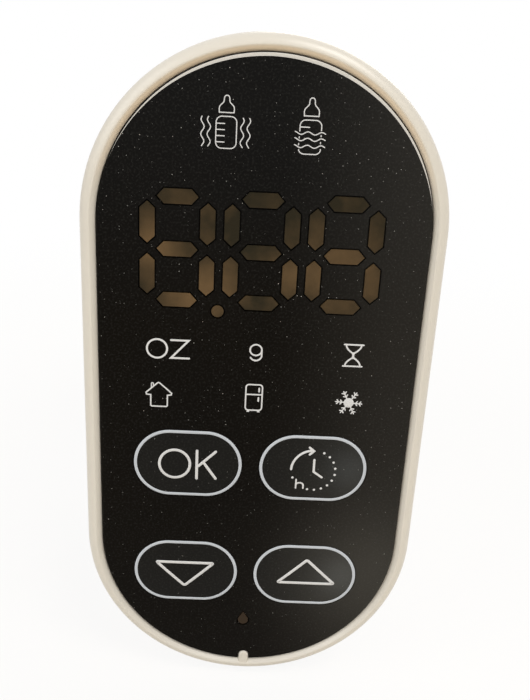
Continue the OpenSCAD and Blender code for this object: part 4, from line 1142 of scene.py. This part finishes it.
# %% Inner finishes
slot_finish = {
    "cream_shell": cream, "face_sheet": sheet_black, "window_smoke": window_smoke, "key_black": key_black,
    "soft_rubber": rubber, "dark_plastic": dark_plastic, "steel_well": steel, "light_alloy": alloy,
    "basket_plastic": frosted,
    "white_plastic": grained("reflector_white", (0.8, 0.8, 0.78), 0.5),
    "circuit_board": grained("board_green", (0.03, 0.1, 0.05), 0.4, drift=0.2),
    "steel_parts": grained("bright_steel", (0.6, 0.61, 0.62), 0.32, metallic=1.0),
    "cell_wrap": grained("cell_wrap", (0.05, 0.2, 0.26), 0.35),
    "contact_metal": grained("contact_metal", (0.6, 0.33, 0.16), 0.3, metallic=1.0),
    "wool_wrap": grained("heat_wool", (0.6, 0.57, 0.52), 0.9, grain=900.0, bump=0.8, drift=0.3),
}
for row in frame["record"]["subparts"]:
    if not nodes[row["node"]].hide_render:
        dress(row["node"], slot_finish[row["material_slot"]])

# %% [markdown]
# ## Stage
# The photograph has a plain white ground and soft light. The floor is a wide disc. Seen by the camera, in
# mirrors and through glass, it keeps some shadow near the part, and further out it is plain white. It throws
# a warm light back up, as a table does, which colours the shaded side of the rim. The lamps are large, so the
# shadows are soft, and bright enough that a colour looks about as it was written.

# %% Floor
FLOOR_R = 4000.0
FLOOR_Z = -0.02
floor_profile = np.stack([np.linspace(0, FLOOR_R, 24), np.full(24, FLOOR_Z)], 1)
floor_mesh = grid_mesh("floor", [(spin(floor_profile, 96, (0, 0)) * MM, True, False)], 30)
floor = add_object("floor", floor_mesh)

floor_white = bpy.data.materials.new("floor_white")
floor_white.use_nodes = True
tree = floor_white.node_tree
tree.nodes.remove(tree.nodes["Principled BSDF"])


def seen_rays(tree):
    """One for rays from the camera, mirrors and glass, and nought for the rest."""
    path = add_node("LightPath", {}, tree)
    first = plus(path["Is Camera Ray"], path["Is Glossy Ray"])
    return plus(first, path["Is Transmission Ray"], clamp=True)


plain = add_node("BsdfDiffuse", {"Color": (0.88, 0.82, 0.72)}, tree)[0]
glow = add_node("Emission", {"Color": (1, 1, 1), "Strength": 1.0}, tree)[0]
away = add_node("VectorMath", {0: here(tree)}, operation="LENGTH")["Value"]
fading = ramp(away, 0.1, 0.45, 0.9, 1.0, smooth=True)
share = times(seen_rays(tree), fading)
both = add_node("MixShader", {0: share, 1: plain, 2: glow})[0]
feed(tree.nodes["Material Output"].inputs["Surface"], both)
floor_mesh.materials.append(floor_white)
print("floor is ready")

# %% World and lamps
AMBIENT = 0.36
LAMP_AIM = (0, 0, 0.07)
scene.view_settings.view_transform = "Standard"
world = bpy.data.worlds.new("studio")
scene.world = world
world.use_nodes = True
tree = world.node_tree
ground = tree.nodes["Background"].inputs
feed(ground["Strength"], plus(times(seen_rays(tree), 1 - AMBIENT), AMBIENT))
feed(ground["Color"], (1, 1, 1))


def add_lamp(name, place, size, watts, colour):
    """A square lamp at a place, turned to look at the part."""
    lamp = bpy.data.lights.new(name, "AREA")
    lamp.size = size
    lamp.energy = watts
    lamp.color = colour
    thing = add_object(name, lamp)
    thing.location = place
    thing.rotation_euler = (Vector(LAMP_AIM) - thing.location).to_track_quat("-Z", "Y").to_euler()


add_lamp("key_lamp", (0.4, -0.6, 0.95), 0.45, 6.3, (1.0, 0.98, 0.95))
add_lamp("fill_lamp", (-0.7, -0.5, 0.6), 0.7, 3.6, (0.97, 0.98, 1.0))
add_lamp("back_lamp", (0.3, 0.8, 0.7), 0.7, 4.4, (1.0, 0.99, 0.97))

# %% [markdown]
# ## Camera
# The camera's place and lens come from fitting the photographed outline and keys: it stands close in front
# of the face, level with its upper end, and looks down at it by about twenty degrees.

# %% Camera
LOOK_DOWN, YAW, ROLL = [math.radians(angle) for angle in (20.316, 1.341, -2.568)]
EYE = (-2.52, 66.60, 151.35)
LENS_PIXELS = 806.4
PICTURE_HEIGHT = 700
FACE_AXES = Matrix([[1, 0, 0], [0, 0, -1], [0, 1, 0]])
turn = Matrix.Rotation(ROLL, 3, "Z") @ Matrix.Rotation(YAW, 3, "Y") @ Matrix.Rotation(LOOK_DOWN, 3, "X")
optics = bpy.data.cameras.new("camera")
optics.sensor_width = 36.0
optics.lens = LENS_PIXELS / PICTURE_HEIGHT * optics.sensor_width
optics.clip_start = 0.01
camera = add_object("camera", optics)
camera.matrix_world = Matrix.Translation(on_face(*EYE)) @ (FACE_AXES @ turn.transposed()).to_4x4()
scene.camera = camera
print("lens", round(optics.lens, 2), "mm at", [round(v, 4) for v in camera.location])
